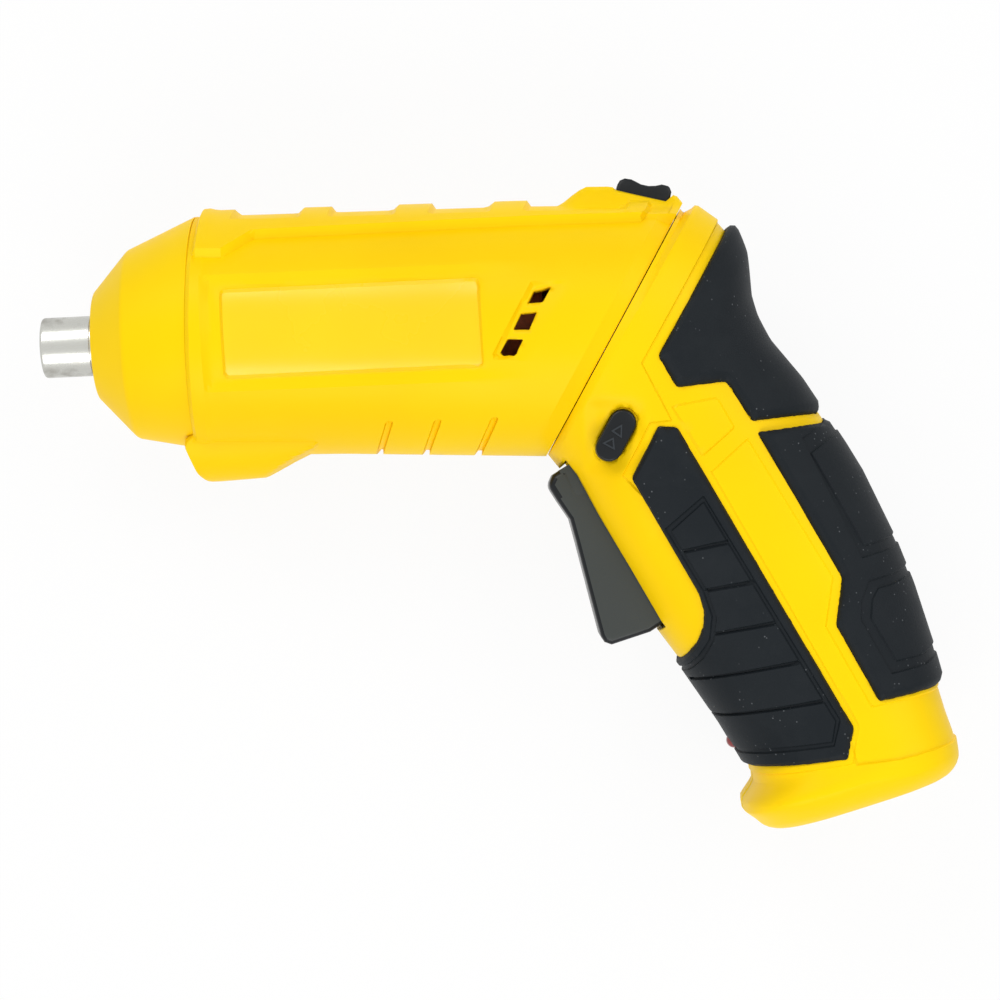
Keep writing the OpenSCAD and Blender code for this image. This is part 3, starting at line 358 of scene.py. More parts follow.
# Materials
class Value:
    """A number socket that can be used in a sum."""

    def __init__(self, finish, socket):
        self.finish = finish
        self.socket = socket

    def maths(self, operation, *others, swap=False):
        parts = [self, *others]
        if swap:
            parts.reverse()
        node = self.finish.node("ShaderNodeMath", {"operation": operation}, dict(enumerate(parts)))
        return Value(self.finish, node.outputs[0])

    def __add__(self, other):
        return self.maths("ADD", other)

    __radd__ = __add__

    def __sub__(self, other):
        return self.maths("SUBTRACT", other)

    def __rsub__(self, other):
        return self.maths("SUBTRACT", other, swap=True)

    def __mul__(self, other):
        return self.maths("MULTIPLY", other)

    __rmul__ = __mul__

    def __truediv__(self, other):
        return self.maths("DIVIDE", other)

    def __rtruediv__(self, other):
        return self.maths("DIVIDE", other, swap=True)

    def __pow__(self, other):
        return self.maths("POWER", other)

    def __lt__(self, other):
        return self.maths("LESS_THAN", other)

    def __gt__(self, other):
        return self.maths("GREATER_THAN", other)

    def clamp(self):
        return (self * 1).held()

    def held(self):
        self.socket.node.use_clamp = True
        return self


class Finish:
    """A procedural material, built from nodes."""

    def __init__(self, name, **constants):
        self.material = bpy.data.materials.new(name)
        self.material.use_nodes = True
        self.tree = self.material.node_tree
        self.shader = self.tree.nodes["Principled BSDF"]
        for key, value in constants.items():
            self.shader.inputs[key.replace("_", " ")].default_value = value
        self.place = self.node("ShaderNodeTexCoord").outputs["Object"]

    def node(self, kind, settings=None, inputs=None):
        node = self.tree.nodes.new(kind)
        for key, value in (settings or {}).items():
            if key == "stops":
                ramp = node.color_ramp
                while len(ramp.elements) < len(value):
                    ramp.elements.new(0.5)
                for element, (at, colour) in zip(ramp.elements, value):
                    element.position = at
                    element.color = colour if hasattr(colour, "__len__") else (colour, colour, colour, 1)
            else:
                setattr(node, key, value)
        for key, value in (inputs or {}).items():
            self.feed(node.inputs[key], value)
        return node

    def feed(self, socket, value):
        if isinstance(value, Value):
            value = value.socket
        if isinstance(value, bpy.types.NodeSocket):
            self.tree.links.new(value, socket)
        else:
            socket.default_value = value

    def noise(self, scale, detail=2, roughness=0.5, stretch=None):
        place = self.place
        if stretch:
            place = self.node("ShaderNodeMapping", {}, {"Vector": place, "Scale": stretch}).outputs[0]
        node = self.node("ShaderNodeTexNoise", {}, {"Vector": place, "Scale": scale, "Detail": detail,
                                                    "Roughness": roughness})
        return Value(self, node.outputs["Fac"])

    def cells(self, scale, feature="F1"):
        node = self.node("ShaderNodeTexVoronoi", {"feature": feature}, {"Vector": self.place, "Scale": scale})
        return Value(self, node.outputs["Distance"])

    def ramp(self, value, *stops):
        node = self.node("ShaderNodeValToRGB", {"stops": stops}, {0: value})
        return node.outputs[0]

    def level(self, value, low, high):
        """The value taken from low..high to 0..1, held at its ends."""
        node = self.node("ShaderNodeMapRange", {}, {"Value": value, "From Min": low, "From Max": high})
        return Value(self, node.outputs[0])

    def mix(self, factor, first, second, blend="MIX"):
        node = self.node("ShaderNodeMix", {"data_type": "RGBA", "blend_type": blend},
                         {0: factor, 6: first, 7: second})
        return node.outputs[2]

    def bump(self, height, strength, distance):
        node = self.node("ShaderNodeBump", {}, {"Height": height, "Strength": strength, "Distance": distance})
        self.feed(self.shader.inputs["Normal"], node.outputs[0])
        return node

    def set(self, **sockets):
        for key, value in sockets.items():
            self.feed(self.shader.inputs[key.replace("_", " ")], value)
        return self.material


def colour(red, green, blue):
    """A colour as it shows on a screen, made linear."""
    def linear(c):
        c = c / 255
        return c / 12.92 if c <= 0.04045 else ((c + 0.055) / 1.055) ** 2.4
    return (linear(red), linear(green), linear(blue), 1)


def moulded(name, body, dark, rough, grain, gloss=0.08):
    """Moulded plastic with a fine spark-eroded grain, faint flow marks and a little handling."""
    m = Finish(name, Specular_IOR_Level=gloss)
    cloud = m.noise(22, 3)
    fine = m.noise(2600, 3, 0.6)
    speck = m.level(m.noise(900, 4, 0.7), 0.66, 0.74)
    tint = m.mix(m.level(cloud, 0.35, 0.7) * 0.5, body, dark)
    m.bump(fine + m.noise(420, 2) * 0.5, grain, 0.0001)
    return m.set(Base_Color=m.mix(speck * 0.25, tint, dark),
                 Roughness=m.level(m.noise(60, 4), 0.2, 0.8) * 0.12 + rough)


def rubber(name, body, dust):
    """Soft over-moulded rubber, with a matt grain and specks of dust."""
    m = Finish(name, Specular_IOR_Level=0.12)
    pores = m.noise(1800, 4, 0.65)
    spots = m.level(m.cells(760), 0.16, 0.06) * m.level(m.noise(170, 2), 0.52, 0.6)
    haze = m.level(m.noise(90, 5, 0.65), 0.45, 0.8)
    base = m.mix(haze * 0.02, body, dust)
    m.bump(pores + m.noise(500, 2) * 0.6, 0.35, 0.00012)
    return m.set(Base_Color=m.mix(spots * 0.32, base, dust), Roughness=haze * 0.12 + 0.55)


def metal(name, body, worn, rough, scratch=(40, 900, 900), grime=0.2):
    """Turned or ground metal with fine lines along its making and a little wear."""
    m = Finish(name, Metallic=1.0)
    lines = m.noise(1.0, 4, 0.7, stretch=scratch)
    wear = m.level(m.noise(240, 4, 0.6), 0.5, 0.68)
    m.bump(lines, 0.12, 0.00005)
    return m.set(Base_Color=m.mix(wear * grime, body, worn), Roughness=wear * 0.2 + lines * 0.12 + rough)


def plain(name, body, shade, rough, scale=300, **constants):
    m = Finish(name, **constants)
    patch = m.level(m.noise(scale, 4, 0.6), 0.3, 0.7)
    m.bump(m.noise(1500, 3), 0.2, 0.00006)
    return m.set(Base_Color=m.mix(patch * 0.6, body, shade), Roughness=patch * 0.12 + rough)


# Finishes
YELLOW = colour(255, 214, 6)
YELLOW_DEEP = colour(249, 199, 4)
yellow_plastic = moulded("yellow_plastic", YELLOW, YELLOW_DEEP, 0.36, 0.16)
panel_plastic = moulded("panel_plastic", colour(254, 212, 10), YELLOW_DEEP, 0.2, 0.03, 0.35)
soft_grip = rubber("soft_grip", colour(22, 27, 31), colour(150, 154, 158))
dark_plastic = moulded("dark_plastic", colour(64, 68, 66), colour(54, 57, 56), 0.4, 0.2, 0.2)
black_button = moulded("black_button", colour(25, 28, 31), colour(18, 20, 22), 0.25, 0.12, 0.2)
# Lighter grey for the button's triangle marks: a painted highlight on their raised edges, not a colour of their
# own
mark_painted_highlight = moulded("mark_painted_highlight", colour(60, 64, 68), colour(50, 54, 58), 0.3, 0.1)
chrome = metal("chrome", colour(196, 196, 190), colour(112, 106, 98), 0.2, (60, 2400, 2400), 0.4)


# Barrel
COS29, SIN29 = math.cos(SWIVEL - DROOP), math.sin(SWIVEL - DROOP)
CHIN_BOTTOM = np.array([[29.0, -20], [29.5, -21.9], [30.8, -26.4], [32, -29.1], [33.3, -29.8], [36, -29.9],
                        [45.9, -29.4], [51.4, -26.2], [57, -23.4], [60, -20]])
DECK = np.array([[107, 22.2], [108.6, 23.4], [110.4, 25.3], [113.5, 27.3], [114.8, 27.8], [120.2, 27.6],
                 [121, 26.9], [131.6, 24.1], [132.4, 25.5], [134.1, 24.7], [135.5, 22.9]])
RIDGES = [(34.0, 41.4), (56.0, 61.6), (75.7, 82.4), (95.6, 102.3)]
SPINE_EDGE = [(33.7, 15.9), (40.4, 15.9), (46.5, 20.1), (72.1, 19.9), (125.6, 19.4), (127.1, 21.2)]
PANEL = rounded([(39.6, -9.7), (91.9, -9.7), (91.9, 8.7), (39.6, 8.7)], 1.4)
FIELD = [(35.6, -11.9), (111, -12.3), (111, 11.4), (35.6, 11.7)]
VENT = [(93, -8.2), (102.3, -8.6), (110.9, 7), (102.1, 7.2)]
WINDOWS = [rounded(w, 0.25, 2) for w in (
    [(102.7, 5.8), (106.3, 6.2), (104.3, 2.9), (101.1, 2.9)],
    [(99.9, 1.1), (103.1, 1.1), (101.3, -2.6), (98.0, -2.4)],
    [(96.7, -4.3), (100.0, -4.5), (98.1, -7.8), (95.0, -7.4)])]
SLOTS = [((72.1, -19.6), (69.6, -24.9)), ((82, -19.7), (79.1, -25.5)), ((93.6, -19.7), (90, -26.2))]


def rear_s(theta, r):
    """How far back the casing reaches before the swivel's parting plane cuts it."""
    return (-HALF_GAP + SIN29 * r * np.cos(theta)) / COS29


def barrel_flat(points, z=None, r=RADIUS):
    """Points of the side view, in the flat sheet of the barrel."""
    p = np.asarray(points, float)
    d = p - JOINT
    s, h = d @ AXIS, d @ UP
    if z is None:
        theta = np.arccos(np.clip(h / r, -1, 1))
    else:
        theta = np.arctan2(z, h)
        r = np.hypot(z, h)
    return np.stack([(s - FRONT_S) / (rear_s(theta, r) - FRONT_S) * SPAN, theta * RADIUS], axis=1)


def chin_radius(x, yc, theta):
    c, s = np.cos(theta), np.sin(theta)
    d = yc + 18.3
    inside = 135 - (d * s) ** 2
    circle = np.where(inside > 0, -d * c + np.sqrt(np.maximum(inside, 0)), 0)
    floor = (yc - np.interp(x, CHIN_BOTTOM[:, 0], CHIN_BOTTOM[:, 1])) / np.maximum(-c, 1e-3)
    # The lower of the two, with a rounded edge where they meet
    reach = (circle + floor - np.sqrt((circle - floor) ** 2 + 0.3)) / 2
    return np.where((c < 0) & (x < 57), reach, 0)


def deck_radius(x, yc, theta):
    top = np.interp(x, DECK[:, 0], DECK[:, 1]) - yc
    level = top / np.cos(np.minimum(theta, math.radians(11)))
    share = 1 - smooth(theta, math.radians(10.5), math.radians(20.5))
    base = RADIUS + 0.8
    return np.where((x > 106) & (theta < 0.5), base + (level - base) * share, 0)


spine_line = barrel_flat(dense(SPINE_EDGE), r=25.8)
spine_area = np.vstack([[spine_line[0][0], -3], spine_line, [spine_line[-1][0], -3]])
groove_line = barrel_flat(dense([(46, 22.4), (72, 22.3), (127, 21.8)]), r=26.2)
groove_v = float(groove_line[:, 1].mean())
channels = []
for a, b in zip([r[1] for r in RIDGES], [r[0] for r in RIDGES[1:]] + [124.5]):
    lo = barrel_flat([(a, 25.5 if a > 70 else 26)], z=np.array([0.0]))[0][0]
    hi = barrel_flat([(b, 25.5)], z=np.array([0.0]))[0][0]
    channels.append(np.array([[lo, -3], [lo, groove_v], [hi, groove_v], [hi, -3]]))
panel_area = barrel_flat(dense(PANEL, closed=True))
field_area = barrel_flat(dense(FIELD, closed=True))
vent_area = barrel_flat(dense(VENT, closed=True))
window_areas = [barrel_flat(dense(w, 0.8, closed=True)) for w in WINDOWS]
slot_lines = []
for top, low in SLOTS:
    a, b = barrel_flat([top, low])
    end = b + (b - a) / (b[1] - a[1]) * (math.pi * RADIUS + 3 - b[1])
    slot_lines.append((a, end))
SLOT_HALF = 0.95
BAND = 3.2


def capsule(a, b, r, steps=7):
    d = (b - a) / np.linalg.norm(b - a)
    n = np.array([-d[1], d[0]])
    arc = [a + r * (math.cos(t) * n - math.sin(t) * d) for t in np.linspace(0, math.pi, steps)]
    return np.array([b + r * n] + arc + [b - r * n])


cap_hole = barrel_flat([(120.8, 27.6), (132.2, 24.6), (132.2, 24.4), (120.8, 27.4)],
                       z=np.array([0.0, 0.0, 5.9, 5.9]))
cap_hole[:2, 1] = -2
chin_edge = []
for x in np.linspace(31.2, 56.4, 32):
    yc = JOINT[1] + (JOINT[0] - x) * math.tan(DROOP)
    angles = np.radians(np.linspace(136, 179.9, 400))
    proud = chin_radius(np.full(400, x), yc, angles) > RADIUS
    if proud.any():
        t = angles[proud.argmax()]
        chin_edge.append(barrel_flat([(x, yc + RADIUS * math.cos(t))],
                                     z=np.array([RADIUS * math.sin(t)]))[0])
chin_edge = np.array(chin_edge)


def barrel_points(flat):
    """Sets the flat sheet on the barrel, with its relief."""
    u, v = flat[:, 0], flat[:, 1]
    theta = v / RADIUS
    w = np.clip(u / SPAN, 0, 1)
    s = FRONT_S + (rear_s(theta, RADIUS) - FRONT_S) * w
    x = JOINT[0] + s * AXIS[0] + RADIUS * np.cos(theta) * UP[0]
    yc = JOINT[1] + s * AXIS[1]
    front = s - FRONT_S
    lift = np.interp(front, [0, 0.25, 0.9, 3.0, 3.4, 4.4], [-1.0, -0.55, 0.2, 0.4, 0.35, 0])
    lift = lift + 2.0 * ease(depth_in(flat, spine_area), 0, 0.9) * (front > 1.5)
    for area in channels:
        lift = lift - 1.2 * ease(depth_in(flat, area), 0, 1.0)
    fade = 1 - smooth(x, 84, 106)
    lift = lift - 0.75 * ease(depth_in(flat, field_area), 0, 2.3) * fade
    d = depth_in(flat, panel_area)
    lift = lift + 0.1 * ease(d, -0.5, 0) - 0.75 * ease(d, 0, 0.35)
    y = yc + RADIUS * np.cos(theta)
    run = x - (93 + (y + 8.2) * (102.1 - 93) / 15.4)
    lift = lift - 0.95 * ease(depth_in(flat, vent_area), 0, 0.4) * (1 - ease(run, 1.2, 8.0))
    for a, b in slot_lines:
        lift = lift - 1.0 * ease(SLOT_HALF - gap_to(flat, np.array([a, b])), 0, 0.4)
    away = (1 - w) * (rear_s(theta, RADIUS) - FRONT_S) * COS29
    lift = lift - 1.4 * ease(BAND - away, 0, BAND) * (1 - smooth(theta, math.radians(130), math.radians(170)))
    # The casing widens a little towards the rear, along its top and its bottom
    top = 1 - smooth(theta, math.radians(35), math.radians(75))
    low = smooth(theta, math.radians(110), math.radians(150))
    lift = lift - 1.25 * top * (1 - np.clip((x - 34) / 66, 0, 1)) * smooth(front, 0.2, 1.6)
    lift = lift + 1.2 * low * np.clip((x - 62) / 50, 0, 1)
    plain_r = np.maximum(RADIUS + lift, np.where(front < 30, chin_radius(x, yc, theta), 0))
    r = plain_r
    for _ in range(4):
        s = FRONT_S + (rear_s(theta, r) - FRONT_S) * w
        x = JOINT[0] + s * AXIS[0] + r * np.cos(theta) * UP[0]
        r = np.maximum(plain_r, deck_radius(x, JOINT[1] + s * AXIS[1], theta))
    # The front face turns in to the nose, and the end face turns in at the parting plane
    turn_in = np.clip(-u / 4, 0, 1)
    r = r + (23.75 - r) * turn_in
    turn_end = np.clip((u - SPAN) / 7, 0, 1)
    r = r + (18.2 - r) * turn_end
    s = FRONT_S + (rear_s(theta, r) - FRONT_S) * w + 0.35 * turn_in
    chin = smooth(theta, math.radians(151), math.radians(156))
    y = JOINT[1] + FRONT_S * AXIS[1] + r * np.cos(theta) * UP[1]
    chin_x = 29.5 + 0.347 * np.maximum(-21.9 - y, 0)
    chin_s = (chin_x - JOINT[0] - r * np.cos(theta) * UP[0]) / AXIS[0]
    s = s + chin * (np.minimum(chin_s - FRONT_S, 0.6)) * np.clip(1 - front / 7, 0, 1) ** 2
    c, z = r * np.cos(theta), r * np.sin(theta)
    out = np.stack([JOINT[0] + s * AXIS[0] + c * UP[0], JOINT[1] + s * AXIS[1] + c * UP[1],
                    np.maximum(z, 0) + SEAM], axis=1)
    return out


def barrel_sheet():
    sheet = Sheet(-4, SPAN + 7, 0, math.pi * RADIUS, 0.95)
    whole = np.array([[0.0, -1], [0.0, 82]])
    for u in (0, 0.28, 0.95, 3.1, 3.5, 4.6, SPAN):
        sheet.score(whole + [u, 0])
    angles = np.linspace(-0.02, math.pi + 0.02, 60)
    span = rear_s(angles, RADIUS) - FRONT_S
    sheet.score(np.stack([SPAN * (1 - BAND / COS29 / span), angles * RADIUS], axis=1))
    sheet.score(panel_area, (0, 0.35, -0.5))
    sheet.score(spine_line, (0, -0.9))
    for area in channels:
        for off in (0, 1.0):
            sheet.score(shifted(area, off) if off else area)
    sheet.score(field_area, (0, 2.3))
    sheet.score(vent_area, (0, 0.4))
    for area in window_areas:
        sheet.score(area)
    for a, b in slot_lines:
        for r in (SLOT_HALF, SLOT_HALF - 0.4):
            sheet.score(dense(capsule(a, b, r), 2))
    sheet.score(chin_edge)
    sheet.score(np.vstack([cap_hole, cap_hole[:1]]))
    lamp_edge = math.radians(171.5) * RADIUS
    sheet.score(np.array([[0.5, lamp_edge], [-3.0, lamp_edge]]))
    sheet.score(np.array([[-3.0, lamp_edge], [-3.0, 81]]))
    return sheet


def barrel_half(sheet, side):
    wells = []
    if side < 0:
        for x, y in BARREL_SCREWS:
            ring = np.array([(x + 2.8 * math.cos(t), y + 2.8 * math.sin(t))
                             for t in np.linspace(0, 2 * math.pi, 25)])
            if y < -20:
                wells.append(barrel_flat(ring, z=np.sqrt(np.maximum(135 - (ring[:, 1] + 18.3) ** 2, 1))))
            else:
                wells.append(barrel_flat(ring, r=26.0 if y > 17 else RADIUS))
        for ring in wells:
            sheet.score(ring)

    def gone(c):
        out = within(c, cap_hole)
        for area in window_areas + wells:
            out |= within(c, area[:-1])
        # Opening for the lamp in the front of the chin
        theta = c[:, 1] / RADIUS
        return out | ((c[:, 0] < 0) & (c[:, 0] > -3.0) & (theta > math.radians(171.5)))

    sheet.tidy()
    sheet.drop(gone)
    faces = list(sheet.bm.faces)
    centres = np.array([f.calc_center_median()[:] for f in faces])[:, :2]
    for f, on in zip(faces, within(centres, panel_area[:-1])):
        f.material_index = int(on)
    sheet.place(barrel_points(sheet.points()))
    name = "left" if side > 0 else "right"
    piece = finished("barrel_%s_casing" % name, sheet.bm, "barrel", yellow_plastic,
                     ["barrel_%s_shell" % name], wall=1.7, mirror=side < 0, angle=17)
    piece.data.materials.append(panel_plastic)


left_sheet = barrel_sheet()
right_sheet = left_sheet.copy()
barrel_half(left_sheet, 1)
barrel_half(right_sheet, -1)


# Handle, drawn along its own axis: a runs down it, b towards its back
HANDLE_LEN = 111.8
FOOT_EDGE = 2.4
FOOT_ROUND = 6.5
TILT = math.radians(31)
FIRST = HALF_GAP / math.cos(TILT)
COS62, SIN62 = math.cos(2 * TILT), math.sin(2 * TILT)
TURN = 26.0
BACK = np.array([[-15.2, 25.3], [-13.9, 28], [-8.8, 30.2], [-4.3, 31.0], [1.3, 29.8], [8.9, 26.7], [13, 26],
                 [18.7, 25.9], [28.7, 27.6], [44.9, 28.5], [51.5, 28.6], [67.3, 27.3], [76.9, 25.8], [84, 24.2],
                 [90.2, 22.8], [98.2, 20.5], [107.6, 18.1], [112, 16.3], [116, 13]])
FRONT = np.array([[15, -25.3], [18.2, -24.8], [22.8, -24], [57, -24.4], [66, -23.4], [81.8, -22.3],
                  [93, -22.2], [96, -23.6], [98, -27.4], [100.1, -28.1], [102.4, -27], [105.4, -25.9],
                  [110, -24]])
HALF = np.array([[0, 25.2], [10, 24], [20, 22], [36, 21], [88, 21], [98, 22], [104, 22.6], [112.3, 20.8]])
POWER = np.array([[0, 2], [20, 2.5], [90, 2.5], [104, 2.9], [113, 2.9]])


def lean(s):
    return math.tan(TILT) - (math.tan(TILT) + 0.224) * np.maximum(0, s - FIRST) / (HANDLE_LEN - FIRST)


def edge_at(line, s, start):
    b = np.full_like(s, start)
    for _ in range(8):
        b = np.interp(s - lean(s) * b, line[:, 0], line[:, 1])
    return b


def handle_flat(points, z=None):
    """Points of the handle's side view, in its flat sheet."""
    p = np.asarray(points, float)
    s = p[:, 0].copy()
    for _ in range(30):
        s = p[:, 0] + lean(s) * p[:, 1]
    back, front = edge_at(BACK, s, 26.0), edge_at(FRONT, s, -24.0)
    power = np.interp(s, POWER[:, 0], POWER[:, 1])
    if z is not None:
        t = math.pi - np.arcsin(np.clip(z / np.interp(s, HALF[:, 0], HALF[:, 1]), 0, 1) ** (power / 2))
        return np.stack([s, t * TURN], axis=1)
    c = np.clip((p[:, 1] - (back + front) / 2) / ((back - front) / 2), -1, 1)
    return np.stack([s, np.arccos(np.sign(c) * np.abs(c) ** (power / 2)) * TURN], axis=1)


def rounding(at, radius):
    """How far the skin draws in at the foot's rounded end."""
    late = np.clip(at - (HANDLE_LEN - radius), 0, radius)
    return radius - np.sqrt(radius ** 2 - late ** 2)


def handle_side(s, t, lift):
    """Side view place and height of the skin's points."""
    at = np.clip(s, FIRST, HANDLE_LEN)
    back, front = edge_at(BACK, at, 26.0), edge_at(FRONT, at, -24.0)
    e = 2 / np.interp(at, POWER[:, 0], POWER[:, 1])
    inset = lift - rounding(at, FOOT_EDGE)
    mid = (back + front) / 2
    c, d = np.cos(t), np.sin(t)
    b = ((back - front) / 2 + inset) * np.sign(c) * np.abs(c) ** e
    z = (np.interp(at, HALF[:, 0], HALF[:, 1]) + lift - rounding(at, FOOT_ROUND)) * np.abs(d) ** e
    # The foot closes flat, and the end face turns in at the parting plane
    close = np.clip((s - HANDLE_LEN) / 24, 0, 1)
    turn_in = np.clip((FIRST - s) / 5, 0, 1) * 0.24
    b, z = b * (1 - 0.25 * close), z * (1 - close)
    b, z = mid + b, z
    b, z = b * (1 - turn_in), z * (1 - turn_in)
    a = at - lean(at) * b
    return a, b, z


def handle_world(a, b, z):
    return np.stack([JOINT[0] + COS62 * a + SIN62 * b, JOINT[1] - SIN62 * a + COS62 * b,
                     np.maximum(z, 0) + SEAM], axis=1)


def seamed(points, first=True, last=True, top=True):
    """An outline in the flat sheet, carried past the seam at the back, or at the front."""
    flat = handle_flat(dense(points))
    v = -3 if top else math.pi * TURN + 3
    ends = [np.array([[flat[0, 0], v]])] if first else []
    tail = [np.array([[flat[-1, 0], v]])] if last else []
    path = np.vstack(ends + [flat] + tail)
    return np.vstack([path, path[:1]])


THUMB = [(-5.7, 29.4), (9.7, 3.1), (17.1, 3.3), (21.0, 12.8), (30.6, 13.3), (36.3, 26.8)]
PALM = [(38.4, 26.5), (33, 13), (67.1, 12.7), (74.6, 6.6), (92.3, 6.3), (96.7, 19.1)]
FINGER = [(65.4, -22.9), (63.6, -19.1), (61.4, -16.5), (58.9, -14.9), (55.1, -14), (28.1, -13.8), (21.8, -3.9),
          (24, -0.6), (94.1, -0.9), (99, -5.3), (92.3, -21.8)]
thumb_area = seamed(rounded(THUMB, 0.6, closed=False))
palm_area = seamed(rounded(PALM, 0.6, closed=False))
finger_area = seamed(rounded(FINGER, 0.5, closed=False), top=False)
neck_area = seamed([(-7.3, 27.5), (9.2, -0.6), (22, -1.1), (20.2, -4.9), (26.8, -15.2), (31, -14.2), (36, -12.5),
                    (60, -6), (96, -3), (100.8, -4.6), (104.4, 3.8), (108, 15)])
strip_line = handle_flat(dense([(93.9, -21.5), (99.9, -4.9), (94, -0.1), (35.1, 0.5), (33, 10.8), (66.1, 11.3),
                                (73.8, 4.9), (92.3, 4.6), (97.1, 18.8)]))
strip_area = np.vstack([[[strip_line[0, 0], 86]], strip_line, [[strip_line[-1, 0], -3], [160, -3], [160, 86],
                                                              [strip_line[0, 0], 86]]])
window_area = handle_flat(dense(rounded([(19.5, 0.3), (22.7, 9.7), (30, 9.7), (31.8, 0.5)], 0.8),
                                closed=True))
dish_area = handle_flat(dense(rounded([(8.9, -13.4), (15.4, -2.4), (29.7, -10.9), (23.2, -21.9)], 3.0),
                              closed=True))
foot_line = handle_flat(dense([(96.5, -28), (98.8, -26.3), (102.4, -15), (104.7, -4.7), (108.6, 4.3),
                               (110.4, 12.3), (111.3, 17.4)]))
foot_area = np.vstack([foot_line, [[160, foot_line[-1, 1]], [160, foot_line[0, 1]]]])
foot_area = np.vstack([[[foot_line[0, 0], 90]], foot_line, [[foot_line[-1, 0], -3], [160, -3], [160, 90],
                                                            [foot_line[0, 0], 90]]])
palm_upper = (seamed([(38.4, 27), (38.9, 19.6), (65.9, 17.6), (68.2, 25.8)]),
              seamed([(42, 27), (42.5, 19.8), (64, 19.5), (65.9, 26.2)]))
palm_lower = (seamed([(72.6, 25), (71.9, 21.7), (70.4, 16.5), (72.8, 13.2), (76.1, 11), (88.8, 10.8), (91.3, 18)]),
              seamed([(74.6, 25), (73.8, 20.5), (72.8, 17.3), (74, 15.3), (77.1, 13), (87.1, 13.1), (89.2, 19)]))
finger_frame = (seamed([(67, -22), (66.2, -19.5), (64.2, -16.2), (60.4, -13.6), (55.2, -12.6), (40.2, -12.8),
                        (38.4, -3), (91.3, -2.4), (95.2, -6.1), (88.6, -22.2)], top=False),
                seamed([(68.2, -22), (67.2, -18.9), (64.9, -15.5), (60.9, -12.7), (55.2, -11.7), (41.3, -11.9),
                        (39.6, -3.7), (91, -3.4), (94.2, -6), (87.5, -22)], top=False))
finger_ribs = [handle_flat(dense(line)) for line in (
    [(46.1, -11.7), (48.9, -3.8)], [(55.3, -11.6), (58.3, -3.8)], [(63.8, -14.6), (67.8, -3.8)],
    [(70.2, -22.9), (77, -3.8)], [(79, -22.9), (86.2, -3.7)])]
opening = [handle_flat(np.array([[a, -24.6]]), z=9.3)[0] for a in np.linspace(19.0, 58.6, 24)]
opening = np.vstack([[[opening[0][0], 90]], opening, [[opening[-1][0], 90]]])


def button_path(half_width, half_length, z=None):
    along = np.array([-math.sin(TILT), math.cos(TILT)])
    middle = np.array([19.1, -12.1])
    reach = half_length - half_width
    a, b = middle - along * reach, middle + along * reach
    n = np.array([-along[1], along[0]])
    loop = [b + half_width * (math.cos(t) * -n + math.sin(t) * along) for t in np.linspace(0, math.pi, 12)]
    loop += [a + half_width * (math.cos(t) * n - math.sin(t) * along) for t in np.linspace(0, math.pi, 12)]
    return np.array(loop)


button_hole = handle_flat(dense(button_path(2.85, 5.7), 0.9, closed=True))


def handle_lift(flat):
    u = flat[:, 0]
    lift = -0.85 * ease(2.2 - (u - FIRST), 0, 2.2) * (1 - smooth(flat[:, 1] / TURN, 2.3, 3.0))
    lift = lift - 0.45 * ease(depth_in(flat, neck_area), 0, 0.25)
    lift = lift - 0.35 * ease(depth_in(flat, strip_area), 0, 0.25) * (1 - smooth(u, 99, 107))
    lift = lift - 0.4 * ease(depth_in(flat, window_area), 0, 0.25)
    lift = lift - 0.8 * smooth(depth_in(flat, dish_area), 0, 3.2)
    lift = lift - 0.25 * ease(-depth_in(flat, button_hole), 0.9, 0)
    below = depth_in(flat, foot_area)
    lift = lift + (0.35 * ease(below, -3.2, 0) - 1.7 * ease(below, 0, 8)) * np.sin(flat[:, 1] / TURN) ** 1.5
    # Under the soft grips the casing lies deeper
    for area in (thumb_area, palm_area, finger_area):
        lift = lift - 0.8 * ease(depth_in(flat, area), 0.4, 1.4)
    return lift


def end_flat(b, z):
    """Points of the foot's end face, in the flat sheet."""
    s = np.full(len(b), HANDLE_LEN)
    back, front = edge_at(BACK, s, 26.0), edge_at(FRONT, s, -24.0)
    half, power = np.interp(s, HALF[:, 0], HALF[:, 1]), np.interp(s, POWER[:, 0], POWER[:, 1])
    mid, wide = (back + front) / 2, (back - front) / 2 - FOOT_EDGE
    low, high = np.zeros(len(b)), np.clip(4 * (1 - np.abs(b - mid) / wide), 0, 1)
    for _ in range(40):
        close = (low + high) / 2
        c = np.clip((b - mid) / (1 - 0.25 * close) / wide, -1, 1)
        t = np.arccos(np.sign(c) * np.abs(c) ** (power / 2))
        over = (half - FOOT_ROUND) * (1 - close) * np.sin(t) ** (2 / power) > z
        low, high = np.where(over, close, low), np.where(over, high, close)
    return np.stack([HANDLE_LEN + 24 * close, t * TURN], axis=1)


around = np.linspace(0, math.pi, 41)
jack_hole = end_flat(-18.4 + 2.8 * np.cos(around), 2.8 * np.sin(around))
jack_hole = np.vstack([[[150, jack_hole[0, 1]]], jack_hole,
                       [[jack_hole[-1, 0], 90], [150, 90], [150, jack_hole[0, 1]]]])


def handle_sheet():
    sheet = Sheet(-5, HANDLE_LEN + 24, 0, math.pi * TURN, 1.0)
    whole = np.array([[0.0, -1], [0.0, 84]])
    for u in (FIRST, FIRST + 2.2, HANDLE_LEN - FOOT_ROUND, HANDLE_LEN - 4.2, HANDLE_LEN - 2.4, HANDLE_LEN - 1.2, HANDLE_LEN - 0.5, HANDLE_LEN - 0.12,
              HANDLE_LEN):
        sheet.score(whole + [u, 0])
    for area, inner, tolerance in ((button_hole, -0.9, 0.02), (strip_area, 0.25, 0.02),
                                   (window_area, 0.25, 0.02), (neck_area, 0.25, 0.02), (foot_line, 0, 0.03),
                                   (jack_hole, 0, 0.02), (opening, 0, 0.1)):
        sheet.score(area, tolerance=tolerance)
        if inner:
            probe = shifted(simplified(area, tolerance), 0.05)
            way = 1 if (depth_in(probe, area) > 0).mean() > 0.5 else -1
            sheet.score(area, (inner * way,), tolerance)
    return sheet


